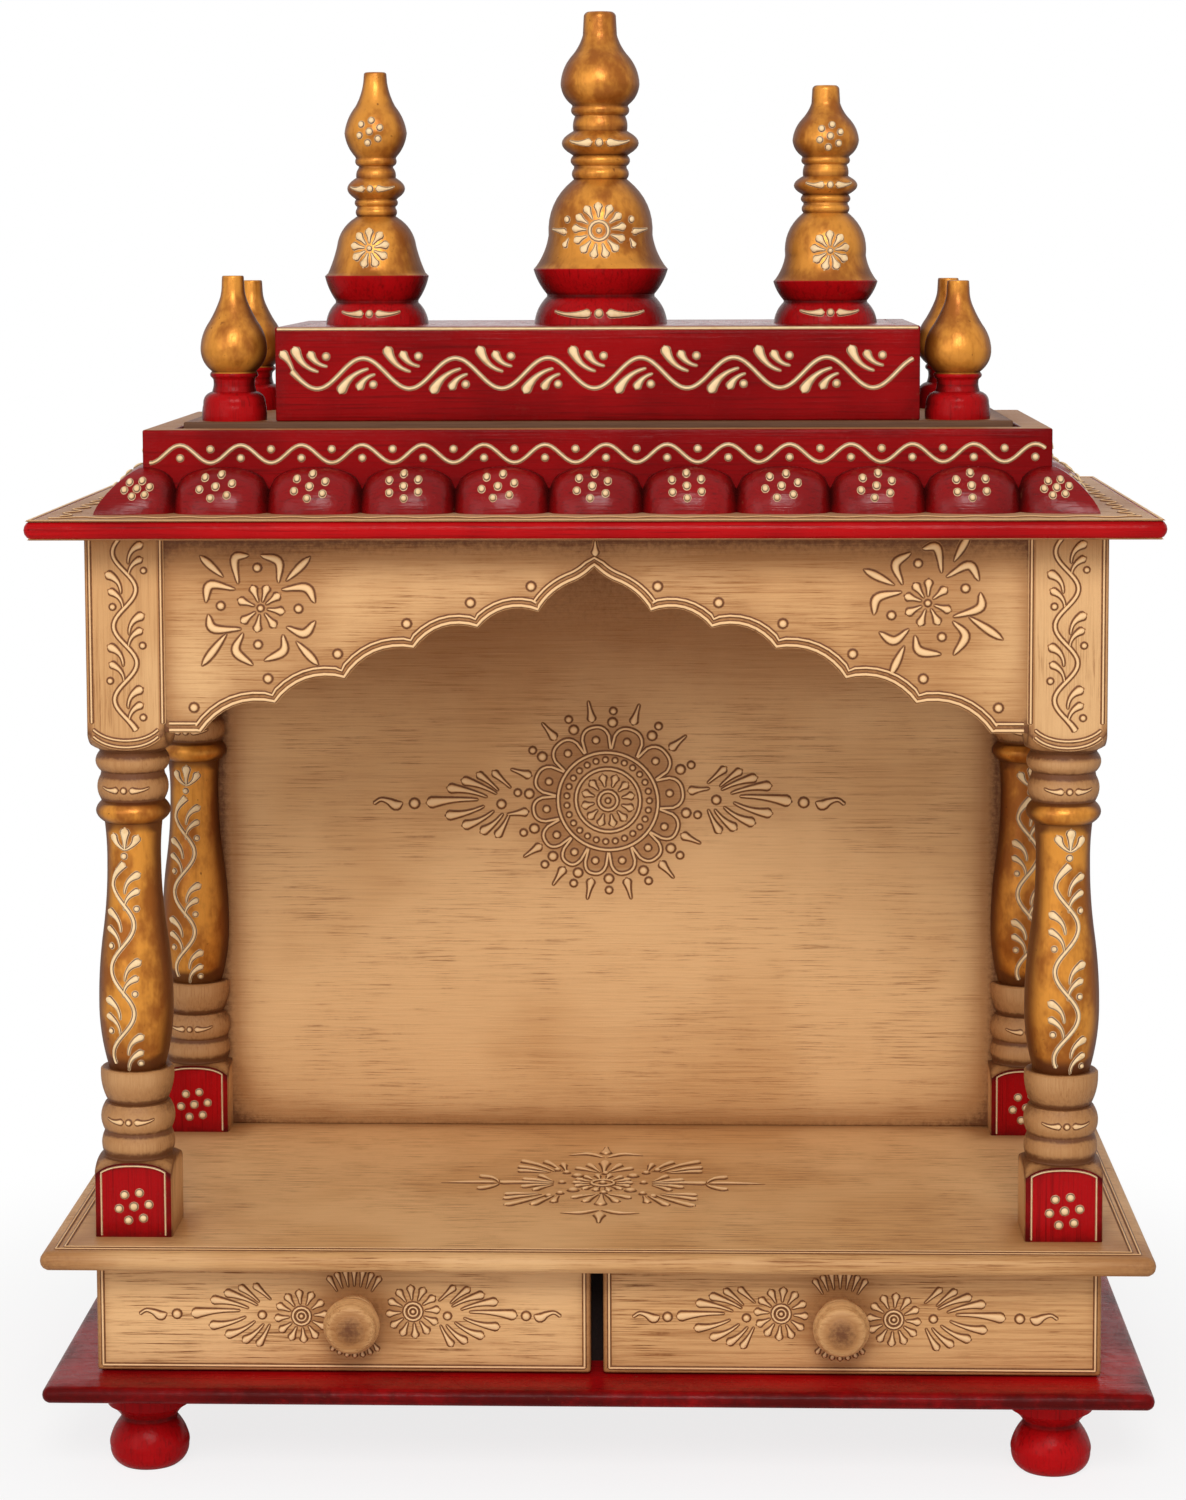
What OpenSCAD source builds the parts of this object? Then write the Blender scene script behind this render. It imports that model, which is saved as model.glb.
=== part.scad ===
// Painted wooden home shrine: two drawers in a low base, four turned pillars, scalloped
// arches, and a stepped roof with a lotus moulding and turned finials.
// Origin: centre of the footprint on the floor. The front faces -Y, and +Z is up.

/* [Boards] */
// Width of the base board and the shelf
board_w = 458; // [450:1:470]
// Depth of the base board and the shelf
board_d = 254; // [250:1:260]
// Thickness of the base board
base_t = 7; // [6:0.5:9]
// Thickness of the shelf
shelf_t = 8; // [7:0.5:10]
// Thickness of the back panel
panel_t = 6; // [4:0.5:9]
// How far the back panel is housed in a groove of each rear pillar
panel_housing = 7.8; // [4:0.2:9]

/* [Feet] */
// Height of a turned foot
foot_h = 36; // [30:1:44]
// Distance of a foot's axis from the centre, left to right
foot_x = 190; // [180:1:200]
// Distance of a foot's axis from the centre, front to back
foot_y = 90; // [80:1:100]

/* [Drawers] */
// Width of the drawer case
case_w = 418; // [410:1:426]
// Height of the drawer case
case_h = 49; // [45:1:56]
// Thickness of the case boards
case_t = 10; // [8:0.5:12]
// Thickness of the divider between the drawers
divider_t = 8; // [6:0.5:10]
// Gap between the two drawer fronts
front_gap = 5.3; // [5:0.1:7]
// Thickness of a drawer front
front_t = 12; // [10:0.5:14]
// Thickness of a drawer box's sides and back
box_t = 8; // [6:0.5:10]
// Thickness of a drawer box's bottom
bottom_t = 4; // [3:0.5:6]
// Height of a drawer box's sides
box_h = 38; // [30:1:40]
// Running gap beside a drawer box
side_clear = 3; // [2:0.5:5]
// Gap above and below a drawer front
front_clear = 0.8; // [0.5:0.1:2]
// Length of a knob
knob_l = 20.5; // [18:0.5:21]

/* [Pillars] */
// Side of a pillar's square blocks
post_w = 32.4; // [30:0.2:34]
// Height of a pillar
post_h = 294; // [290:1:300]
// Distance of a pillar's axis from the centre, left to right
post_x = 193.4; // [190:0.2:196]
// Distance of a pillar's axis from the centre, front to back
post_y = 86.2; // [84:0.2:88]

/* [Arches] */
// Thickness of the arch boards
arch_t = 10; // [8:0.5:14]
// How far an arch board stands back from the faces of the posts
arch_inset = 0.4; // [0:0.1:2]

/* [Roof] */
// Width of the roof board
roof_w = 460; // [456:1:470]
// Depth of the roof board
roof_d = 256; // [254:1:262]
// Thickness of the roof board
roof_t = 8; // [7:0.5:10]
// Width over the parapet
parapet_w = 377; // [370:1:384]
// Depth over the parapet
parapet_d = 158; // [150:1:164]
// Height of the parapet
parapet_h = 34; // [30:1:38]
// Thickness of the parapet's walls
parapet_t = 12; // [10:0.5:12]

/* [Lotus moulding] */
// How far the moulding stands out from the parapet
lotus_out = 18; // [16:0.5:19]
// Height of the moulding
lotus_h = 18.6; // [17:0.2:20]
// Full lobes along the front
front_lobes = 9; // [7:2:11]
// Full lobes along an end
end_lobes = 3; // [3:2:5]
// Width of a lobe
lobe_w = 38.8; // [36:0.2:39]
// Depth of the groove between two lobes
lobe_dip = 4.5; // [2:0.5:6]

/* [Crown and plinth] */
// Gap between the parapet's walls and the crown board
crown_gap = 3; // [3:0.5:5]
// Height of the crown board above the parapet
crown_rise = 2.5; // [1:0.5:5]
// Thickness of the crown board
crown_t = 8; // [6:0.5:10]
// Width of the plinth that carries the finials
plinth_w = 270; // [264:1:274]
// Depth of the plinth
plinth_d = 121; // [116:1:122]
// Height of the plinth
plinth_h = 39.5; // [36:0.5:42]
// Thickness of the plinth's boards
plinth_t = 9; // [7:0.5:12]

/* [Finials] */
// Height of the centre finial
centre_h = 134; // [120:1:140]
// Largest radius of the centre finial
centre_r = 29.2; // [26:0.2:32]
// Height of the left finial
left_h = 108.6; // [100:0.2:118]
// Height of the right finial
right_h = 102; // [95:1:118]
// Largest radius of the two side finials
side_r = 22.6; // [20:0.2:25]
// Distance of the side finials from the centre
side_x = 97.5; // [90:0.5:105]
// Radius of the side finials' discs, necks and bulbs, as a share of the centre one's
side_stout = 0.84; // [0.74:0.01:0.9]
// Height of the front left corner finial
corner_tall_h = 61; // [54:1:66]
// Height of the other three corner finials
corner_h = 58; // [54:1:66]
// Distance of a corner finial from the centre, left to right
corner_x = 154; // [150:0.5:156]
// How far the rear left one stands outside that distance
corner_out = 4.5; // [0:0.5:5]
// How far the front right one stands inside it
corner_in = 2.5; // [0:0.5:5]
// Distance of a corner finial from the centre, front to back
corner_y = 48; // [46:0.5:49]

/* [Hidden] */
$fn = 96;
cream = [0.80, 0.60, 0.38];
red = [0.55, 0.04, 0.05];
gold = [0.72, 0.43, 0.14];
brown = [0.45, 0.26, 0.13];

// Heights, from the floor up
base_z = foot_h;
case_z = base_z + base_t;
shelf_z = case_z + case_h;
post_z = shelf_z + shelf_t;
roof_z = post_z + post_h;
parapet_z = roof_z + roof_t;
crown_z = parapet_z + parapet_h + crown_rise;
plinth_z = crown_z + plinth_h;

// Drawer case, front to back: the fronts close against front_y
front_y = -93;
case_y = 105;
box_back_y = 85;
box_z = case_z + 1;
front_w = (case_w - front_gap) / 2;
knob_z = case_z + case_h / 2;
knob_x = 101;
divider_y = -86;

// Clear width and depth between the posts' blocks
bay_x = post_x - post_w / 2;
bay_y = post_y - post_w / 2;

// Outline nodes are [x, y, bow]: the stretch to the next node swells by bow at its middle,
// to the right of its direction, as a parabola. A bow of 0 is a straight stretch.
foot_nodes = [[12.6, 0, 1.2], [16.6, 7.5, 0.2], [16.6, 10.5, 0.6], [11.9, 19.4, 0],
    [11.9, 20.8, -0.5], [17.4, 26, 0], [17.4, foot_h, 0]];
knob_nodes = [[9, 0, 0], [9, 2, -0.6], [6, 4.5, 0], [6, 7, 0], [9.4, 8.2, 1.7],
    [10.6, 16.5, 1.1], [6.6, knob_l - 0.6, 0], [5.4, knob_l, 0]];
corner_master = [60, 14];
corner_nodes = [[13.6, 0, 0.3], [13.2, 6.6, 1.3], [9.3, 12, 0], [9.2, 12.6, -0.3],
    [8.8, 17, 0], [9.2, 17.6, 0.9], [9.3, 20.4, 0], [9.8, 20.8, 1.3], [14, 30.5, 0.8],
    [10.2, 41, -0.2], [6, 49.5, -0.3], [4.8, 56, 0], [4.6, 59.5, 0.2], [3.8, 60, 0]];

// Turning of a pillar, from the bottom: block, two rings, cup, shaft, three rings, block
blank_r = 24;
post_nodes = [[blank_r, 0, 0], [blank_r, 25.5, 0], [22.9, 26, 1.4], [14.3, 31.8, 0],
    [14.2, 32.3, 1.1], [14.2, 41.7, 0], [14, 42.6, 1.7], [13.6, 54.3, 0],
    [12.3, 54.8, 0], [12.8, 55.6, 0.9], [15.3, 68.6, 0], [14.6, 69.3, 0],
    [11.8, 69.4, 1.1], [15.5, 98, 0.5], [13.3, 127, -0.5], [11.2, 156, -0.3],
    [12, 173.4, 0], [12.7, 173.8, 2.6], [13.1, 182.2, 0], [13.4, 183, 1.4],
    [13.4, 193, 0], [13.1, 194.6, 2.1], [13.5, 203.2, 0], [14.3, 204.2, 1.4],
    [22.9, 213.5, 0], [blank_r, 214, 0], [blank_r, post_h, 0]];

// A finial 134 high and 29.2 in radius, from the bottom: base bead, rimmed bowl, bell,
// two beads, disc, neck, bulb and tip. It is scaled to each finial's own height and radius.
finial_master = [134, 29.2];
finial_nodes = [[28.9, 0, 1.2], [23.4, 11.6, 0], [23.4, 12.6, 0.7], [29.2, 23.4, 0],
    [27.8, 25, -0.8], [22.6, 38, 3.3], [12.2, 61.6, 0], [11.5, 62.2, 0.9],
    [11.5, 66.8, 0], [11.4, 67.8, 1.3], [11.8, 72.4, 0], [12.6, 73, 4.1],
    [12.6, 82.4, 0], [11.6, 83, 0.5], [11, 89, 0], [11, 89.4, 1.1],
    [12, 93.6, 0], [12.3, 94.2, 1.1], [17.1, 103, 1.1], [12.4, 115, -0.6],
    [7.4, 124, 0], [7, 131.5, 0.5], [5.4, 134, 0]];

// The left finial is turned by the same steps, with a shorter bell and a longer tip
left_master = [111, 22.7];
left_nodes = [[22.4, 0, 1.0], [18.1, 9.4, 0], [18.1, 10.4, 0.6], [22.7, 21.2, 0],
    [21.3, 22.5, -0.3], [17.3, 34.5, 1.7], [9.3, 47, 0], [8.4, 47.6, 0.6],
    [8.5, 51, 0], [8.4, 51.8, 0.8], [8.9, 55, 0], [9.5, 55.6, 3.1],
    [9.5, 64, 0], [8.6, 64.6, 0.5], [7.5, 69, 0], [7.5, 69.6, 0.9],
    [8.7, 73.2, 0], [9, 73.8, 0.9], [13.6, 84.2, 0.9], [8.7, 96, -0.5],
    [5.2, 106.5, 0], [4.9, 110.2, 0.3], [3.6, 111, 0]];

// Lower edges of the arch boards, from the post to the middle, as [x, height, bow]
front_scallops = [[bay_x, 312.4, 0], [162, 312.4, 5.4], [131.3, 324.4, 5], [102.5, 334.6, 5],
    [74, 347.1, 4.8], [47.8, 355.7, 4.4], [22.9, 362.4, 1.8], [8, 375, -0.5], [0, 380.8, 0]];
side_scallops = [[bay_y, 312.4, 0], [60, 312.4, 4.4], [39, 327, 4.2], [19.5, 340, 1.4],
    [7, 351, -0.4], [0, 356.5, 0]];

// Points of an outline given as [x, y, bow] nodes
function bowed(nodes, steps = 6) = [
    for (i = [0 : len(nodes) - 2])
        let (
            a = [nodes[i].x, nodes[i].y],
            run = [nodes[i + 1].x, nodes[i + 1].y] - a,
            side = [run.y, -run.x] / norm(run),
            bow = nodes[i][2],
            n = bow == 0 ? 1 : steps
        )
        for (k = [0 : n - 1])
            let (t = k / n)
            a + run * t + side * 4 * bow * t * (1 - t),
    [nodes[len(nodes) - 1].x, nodes[len(nodes) - 1].y]
];

// The same outline nodes, mirrored left to right and read backwards
function mirrored(nodes) = [
    for (i = [len(nodes) - 1 : -1 : 0])
        [-nodes[i].x, nodes[i].y, i > 0 ? nodes[i - 1][2] : 0]
];

// A solid turned about Z, from nodes that run from the bottom to the top
module turned(nodes) {
    top = nodes[len(nodes) - 1].y;
    rotate_extrude()
        polygon(concat([[0, nodes[0].y]], bowed(nodes), [[0, top]]));
}

// A box centred on X and Y that stands at height z
module centred_box(w, d, z, h) {
    translate([-w / 2, -d / 2, z]) cube([w, d, h]);
}

// The cross-section of a board with a half-round nose on both long edges
module nosed_section(w, t) {
    translate([-w / 2 + t / 2, 0]) square([w - t, t]);
    for (side = [-1, 1])
        translate([side * (w - t) / 2, t / 2]) circle(t / 2);
}

// A board with a half-round nose on all four edges, mitred at its corners
module nosed_board(w, d, z, t) {
    translate([0, 0, z])
        intersection() {
            translate([0, d / 2, 0]) rotate([90, 0, 0]) linear_extrude(d) nosed_section(w, t);
            translate([-w / 2, 0, 0]) rotate([90, 0, 90]) linear_extrude(w) nosed_section(d, t);
        }
}

module foot(x, y) {
    color(red) translate([x, y, 0]) turned(foot_nodes);
}

module base_board() {
    color(red) nosed_board(board_w, board_d, base_z, base_t);
}

module case_side(side) {
    x = side * (case_w - case_t) / 2;
    color(cream)
        translate([x - case_t / 2, front_y, case_z]) cube([case_t, case_y - front_y, case_h]);
}

module case_divider() {
    color(brown)
        translate([-divider_t / 2, divider_y, case_z])
            cube([divider_t, case_y - case_t - divider_y, case_h]);
}

module case_back() {
    w = case_w - 2 * case_t;
    color(cream) translate([-w / 2, case_y - case_t, case_z]) cube([w, case_t, case_h]);
}

// Left and right limits of a drawer box, seen from the middle outwards
box_in = divider_t / 2 + side_clear;
box_out = case_w / 2 - case_t - side_clear;

// Places a piece of the right drawer, or its mirror image for the left one
module on_side(side) {
    mirror([side < 0 ? 1 : 0, 0, 0]) children();
}

module drawer_front(side) {
    color(cream) on_side(side)
        translate([front_gap / 2, front_y - front_t, case_z + front_clear])
            cube([front_w, front_t, case_h - 2 * front_clear]);
}

module drawer_sides(side) {
    color(brown) on_side(side)
        for (x = [box_in, box_out - box_t])
            translate([x, front_y, box_z]) cube([box_t, box_back_y - front_y, box_h]);
}

module drawer_back(side) {
    color(brown) on_side(side)
        translate([box_in + box_t, box_back_y - box_t, box_z])
            cube([box_out - box_in - 2 * box_t, box_t, box_h]);
}

module drawer_bottom(side) {
    color(brown) on_side(side)
        translate([box_in + box_t, front_y, box_z])
            cube([box_out - box_in - 2 * box_t, box_back_y - box_t - front_y, bottom_t]);
}

module drawer_knob(side) {
    color(cream)
        translate([side * knob_x, front_y - front_t, knob_z])
            rotate([90, 0, 0]) turned(knob_nodes);
}

module shelf_board() {
    color(cream) nosed_board(board_w, board_d, shelf_z, shelf_t);
}

// A square blank turned between its two end blocks
module pillar(x, y) {
    color(cream)
        translate([x, y, post_z])
            intersection() {
                centred_box(post_w, post_w, 0, post_h);
                turned(post_nodes);
            }
}

// The board that closes the back, with its upper and lower ends drawn out by spare
module panel_board(spare) {
    reach = bay_x + panel_housing;
    translate([-reach, post_y, post_z - spare]) cube([2 * reach, panel_t, post_h + 2 * spare]);
}

// A rear pillar, grooved on its inner side for the edge of the back panel
module rear_pillar(side) {
    color(cream)
        difference() {
            pillar(side * post_x, post_y);
            panel_board(1);
        }
}

module back_panel() {
    color(cream) panel_board(0);
}

// An arch board that spans both halves of its scallops and ends at the roof
module arch_board(scallops) {
    reach = scallops[0].x;
    rotate([90, 0, 0])
        linear_extrude(arch_t)
            polygon(concat(
                bowed(scallops),
                bowed(mirrored(scallops)),
                [[-reach, roof_z], [reach, roof_z]]));
}

module front_arch() {
    back_y = arch_t - post_y - post_w / 2 + arch_inset;
    color(cream) translate([0, back_y, 0]) arch_board(front_scallops);
}

module side_arch(side) {
    out_x = post_x + post_w / 2 - arch_inset;
    color(cream)
        translate([side < 0 ? -out_x : out_x - arch_t, 0, 0])
            rotate([0, 0, 90]) arch_board(side_scallops);
}

module roof_board() {
    color(red) nosed_board(roof_w, roof_d, roof_z, roof_t);
}

// One side of the lotus moulding, mitred at both ends. It runs along X with its back on
// the line y = 0, and its rounded section shrinks towards the top.
module lotus_run(reach, lobes) {
    end = lobes * lobe_w / 2;
    cusps = [for (i = [0 : lobes]) [-end + i * lobe_w, lobe_dip - lotus_out, lobe_dip]];
    corner = reach + lotus_out;
    plan = concat([[-reach, 0, 0], [-corner, -lotus_out, 1]], cusps, [[corner, -lotus_out, 0]],
        [[reach, 0, 0]]);
    // The last cusp leads into the corner, which swells less than a full lobe
    eased = [for (i = [0 : len(plan) - 1]) i == lobes + 2 ? [plan[i].x, plan[i].y, 1] : plan[i]];
    section = [[-lotus_out, 0, 3.6], [-0.6, lotus_h, 0], [0, lotus_h, 0]];
    intersection() {
        linear_extrude(lotus_h) polygon(bowed(eased));
        translate([-corner, 0, 0])
            rotate([90, 0, 90]) linear_extrude(2 * corner)
                polygon(concat([[0, 0]], bowed_left(section)));
    }
}

// A bowed outline whose swellings face left of its direction
function bowed_left(nodes) = bowed([for (p = nodes) [p.x, p.y, -p[2]]]);

module lotus_long(side) {
    color(red)
        translate([0, side * parapet_d / 2, parapet_z])
            rotate([0, 0, side < 0 ? 0 : 180]) lotus_run(parapet_w / 2, front_lobes);
}

module lotus_ends() {
    color(red)
        for (side = [-1, 1])
            translate([side * parapet_w / 2, 0, parapet_z])
                rotate([0, 0, side * 90]) lotus_run(parapet_d / 2, end_lobes);
}

// One long wall of a four-walled frame, and the pair of short walls between them
module long_wall(w, d, z, h, t, side) {
    translate([-w / 2, side < 0 ? -d / 2 : d / 2 - t, z]) cube([w, t, h]);
}

module short_walls(w, d, z, h, t) {
    for (x = [-w / 2, w / 2 - t])
        translate([x, -d / 2 + t, z]) cube([t, d - 2 * t, h]);
}

module parapet_long(side) {
    color(red) long_wall(parapet_w, parapet_d, parapet_z, parapet_h, parapet_t, side);
}

module parapet_ends() {
    color(red) short_walls(parapet_w, parapet_d, parapet_z, parapet_h, parapet_t);
}

crown_w = parapet_w - 2 * (parapet_t + crown_gap);
crown_d = parapet_d - 2 * (parapet_t + crown_gap);
bearer_t = 12;

module crown_bearers() {
    y = plinth_d / 2 - bearer_t;
    color(brown)
        for (side = [-1, 1])
            translate([-crown_w / 2, side * y - bearer_t / 2, parapet_z])
                cube([crown_w, bearer_t, crown_z - crown_t - parapet_z]);
}

module crown_board() {
    color(brown) centred_box(crown_w, crown_d, crown_z - crown_t, crown_t);
}

module plinth_long(side) {
    color(red) long_wall(plinth_w, plinth_d, crown_z, plinth_h, plinth_t, side);
}

module plinth_ends() {
    color(red) short_walls(plinth_w, plinth_d, crown_z, plinth_h, plinth_t);
}

module plinth_top() {
    color(red)
        centred_box(plinth_w - 2 * plinth_t, plinth_d - 2 * plinth_t,
            plinth_z - plinth_t, plinth_t);
}

// Nodes drawn for the size in master, as [height, radius], scaled to another size
function resized(nodes, master, h, r) = [
    for (p = nodes) [p.x * r / master[1], p.y * h / master[0], p[2] * r / master[1]]
];

// The same nodes with every radius above the height z changed by a factor
function stouter(nodes, z, factor) = [
    for (p = nodes) p.y > z ? [p.x * factor, p.y, p[2] * factor] : p
];

module finial(x, nodes) {
    color(gold) translate([x, 0, plinth_z]) turned(nodes);
}

module finial_centre() {
    finial(0, resized(finial_nodes, finial_master, centre_h, centre_r));
}

module finial_left() {
    finial(-side_x, resized(left_nodes, left_master, left_h, side_r));
}

module finial_right() {
    bell_top = 61.5;
    shape = stouter(finial_nodes, bell_top, side_stout * finial_master[1] / side_r);
    finial(side_x, resized(shape, finial_master, right_h, side_r));
}

module corner_finial(x, end, h) {
    color(gold)
        translate([x, end * corner_y, crown_z])
            turned(resized(corner_nodes, corner_master, h, corner_master[1]));
}

foot(-foot_x, -foot_y);  // foot_front_left
foot(foot_x, -foot_y);  // foot_front_right
foot(-foot_x, foot_y);  // foot_rear_left
foot(foot_x, foot_y);  // foot_rear_right
base_board();
case_side(-1);  // case_side_left
case_side(1);  // case_side_right
case_divider();
case_back();
drawer_front(-1);  // drawer_left_front
drawer_sides(-1);  // drawer_left_sides
drawer_back(-1);  // drawer_left_back
drawer_bottom(-1);  // drawer_left_bottom
drawer_knob(-1);  // drawer_left_knob
drawer_front(1);  // drawer_right_front
drawer_sides(1);  // drawer_right_sides
drawer_back(1);  // drawer_right_back
drawer_bottom(1);  // drawer_right_bottom
drawer_knob(1);  // drawer_right_knob
shelf_board();
pillar(-post_x, -post_y);  // pillar_front_left
pillar(post_x, -post_y);  // pillar_front_right
rear_pillar(-1);  // pillar_rear_left
rear_pillar(1);  // pillar_rear_right
back_panel();
front_arch();
side_arch(-1);  // side_arch_left
side_arch(1);  // side_arch_right
roof_board();
lotus_long(-1);  // lotus_front
lotus_long(1);  // lotus_rear
lotus_ends();
parapet_long(-1);  // parapet_front
parapet_long(1);  // parapet_rear
parapet_ends();
crown_bearers();
crown_board();
plinth_long(-1);  // plinth_front
plinth_long(1);  // plinth_rear
plinth_ends();
plinth_top();
finial_centre();
finial_left();
finial_right();
corner_finial(-corner_x, -1, corner_tall_h);  // corner_finial_front_left
corner_finial(corner_x - corner_in, -1, corner_h);  // corner_finial_front_right
corner_finial(-corner_x - corner_out, 1, corner_h);  // corner_finial_rear_left
corner_finial(corner_x, 1, corner_h);  // corner_finial_rear_right
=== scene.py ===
"""Looks of the painted wooden home temple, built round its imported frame.

Lengths are millimetres until a mesh is written, and the frame is +X right, -Y front, +Z up.
"""

import logging
import math
from dataclasses import dataclass, field, replace
from enum import Enum
from typing import Callable, Protocol, Sequence

import bmesh
import bpy
import numpy as np
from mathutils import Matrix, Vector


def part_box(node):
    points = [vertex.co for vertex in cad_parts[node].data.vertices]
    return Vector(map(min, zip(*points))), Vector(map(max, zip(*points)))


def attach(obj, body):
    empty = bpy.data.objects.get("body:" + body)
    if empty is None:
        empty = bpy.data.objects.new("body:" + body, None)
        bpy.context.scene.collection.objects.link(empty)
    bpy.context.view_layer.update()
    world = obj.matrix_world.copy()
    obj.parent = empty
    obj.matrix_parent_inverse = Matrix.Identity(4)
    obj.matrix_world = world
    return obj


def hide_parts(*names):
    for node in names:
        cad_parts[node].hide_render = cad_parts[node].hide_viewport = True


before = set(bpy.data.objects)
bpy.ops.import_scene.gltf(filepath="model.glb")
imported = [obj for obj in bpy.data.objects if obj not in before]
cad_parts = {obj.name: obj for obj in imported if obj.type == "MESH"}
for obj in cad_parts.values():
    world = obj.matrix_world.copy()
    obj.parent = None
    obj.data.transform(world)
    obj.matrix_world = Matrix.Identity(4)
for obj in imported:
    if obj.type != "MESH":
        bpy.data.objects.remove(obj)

Array = np.ndarray
StainAndShade = Callable[[Array, Array], Array]
Nodes = Sequence[tuple[float, float, float]]

MM = 0.001
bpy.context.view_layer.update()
log = logging.getLogger("temple")


# ---------------------------------------------------------------- shader maths


class Sock:
    """One shader output that plain arithmetic can use; each operator adds a Math node."""

    def __init__(self, graph: "Graph", out: bpy.types.NodeSocket) -> None:
        """Keeps the graph and the output socket."""
        self.graph, self.out = graph, out

    def _math(self, operation: str, *values: "Sock | float") -> "Sock":
        """Adds a Math node of that operation on the values."""
        return self.graph.node("ShaderNodeMath", {"operation": operation}, dict(enumerate(values)))

    def __add__(self, other: "Sock | float") -> "Sock":
        """self + other."""
        return self._math("ADD", self, other)

    def __mul__(self, other: "Sock | float") -> "Sock":
        """self * other."""
        return self._math("MULTIPLY", self, other)

    def __rsub__(self, other: float) -> "Sock":
        """other - self."""
        return self._math("SUBTRACT", other, self)

    __radd__, __rmul__ = __add__, __mul__

    def step(self, low: float, high: float) -> "Sock":
        """A smooth step from 0 at low to 1 at high."""
        return self.graph.node(
            "ShaderNodeMapRange",
            {"interpolation_type": "SMOOTHSTEP"},
            {"Value": self, "From Min": low, "From Max": high},
        )


class Graph:
    """The node tree of one material, with short ways to add its nodes."""

    def __init__(self, name: str) -> None:
        """Makes an empty material of that name with its output and its Principled shader."""
        self.material = bpy.data.materials.new(name)
        self.material.use_nodes = True
        self.tree = self.material.node_tree
        self.tree.nodes.clear()
        self.output = self.tree.nodes.new("ShaderNodeOutputMaterial")
        self.shader = self.tree.nodes.new("ShaderNodeBsdfPrincipled")
        self.tree.links.new(self.shader.outputs[0], self.output.inputs["Surface"])

    def node(self, kind: str, settings: dict, inputs: dict, output: int | str = 0) -> Sock:
        """Adds a node: its settings first, then its sockets.

        Args:
            kind: the node's type name.
            settings: attributes to set on the node.
            inputs: socket name or number to a value or a Sock.
            output: which output to return.

        Returns:
            The chosen output as a Sock.
        """
        made = self.tree.nodes.new(kind)
        for key, value in settings.items():
            setattr(made, key, value)
        for key, value in inputs.items():
            if isinstance(value, Sock):
                self.tree.links.new(value.out, made.inputs[key])
            else:
                made.inputs[key].default_value = value
        return Sock(self, made.outputs[output])

    def place(self, stretch: tuple[float, float, float] = (1.0, 1.0, 1.0)) -> Sock:
        """Object coordinates in metres, multiplied axis by axis."""
        where = self.node("ShaderNodeTexCoord", {}, {}, "Object")
        return self.node("ShaderNodeVectorMath", {"operation": "MULTIPLY"}, {0: where, 1: stretch})

    def noise(self, stretch: tuple[float, float, float], detail: float = 3.0, rough: float = 0.55) -> Sock:
        """Fractal noise from 0 to 1 on stretched Object coordinates."""
        settings = {"noise_dimensions": "3D"}
        inputs = {"Vector": self.place(stretch), "Scale": 1.0, "Detail": detail, "Roughness": rough}
        return self.node("ShaderNodeTexNoise", settings, inputs)

    def attribute(self, name: str) -> Sock:
        """A number that the mesh carries on its vertices."""
        return self.node("ShaderNodeAttribute", {"attribute_name": name}, {}, "Fac")

    def mix(self, share: Sock | float, a: "Sock | Colour", b: "Sock | Colour") -> Sock:
        """Colour a where share is 0 and colour b where it is 1."""
        settings = {"data_type": "RGBA", "clamp_factor": True}
        inputs = {0: share, 6: rgba(a), 7: rgba(b)}
        return self.node("ShaderNodeMix", settings, inputs, 2)

    def bump(self, height: Sock, depth_mm: float) -> Sock:
        """A bump of that full depth."""
        return self.node("ShaderNodeBump", {}, {"Height": height, "Strength": 1.0, "Distance": depth_mm * MM})

    def finish(self, colour: Sock, rough: Sock, normal: Sock, **fixed: float) -> bpy.types.Material:
        """Links what varies and sets what does not.

        Args:
            colour: base colour.
            rough: roughness.
            normal: normal from a bump.
            fixed: Principled socket names, with _ for a space, and their one value.

        Returns:
            The finished material.
        """
        for name, sock in (("Base Color", colour), ("Roughness", rough), ("Normal", normal)):
            self.tree.links.new(sock.out, self.shader.inputs[name])
        for name, value in fixed.items():
            self.shader.inputs[name.replace("_", " ")].default_value = value
        return self.material


Colour = tuple[float, float, float]


def rgba(colour: Sock | Colour) -> Sock | tuple[float, float, float, float]:
    """A plain colour with its alpha, or the socket unchanged."""
    return colour if isinstance(colour, Sock) else (*colour, 1.0)


# ---------------------------------------------------------------- finishes


class Grain(Enum):
    """Which way the wood grain runs, as a stretch of Object coordinates per metre."""

    ALONG_X = (42.0, 1700.0, 1700.0)
    ALONG_Y = (1700.0, 42.0, 1700.0)
    ALONG_Z = (1700.0, 1700.0, 42.0)


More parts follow.
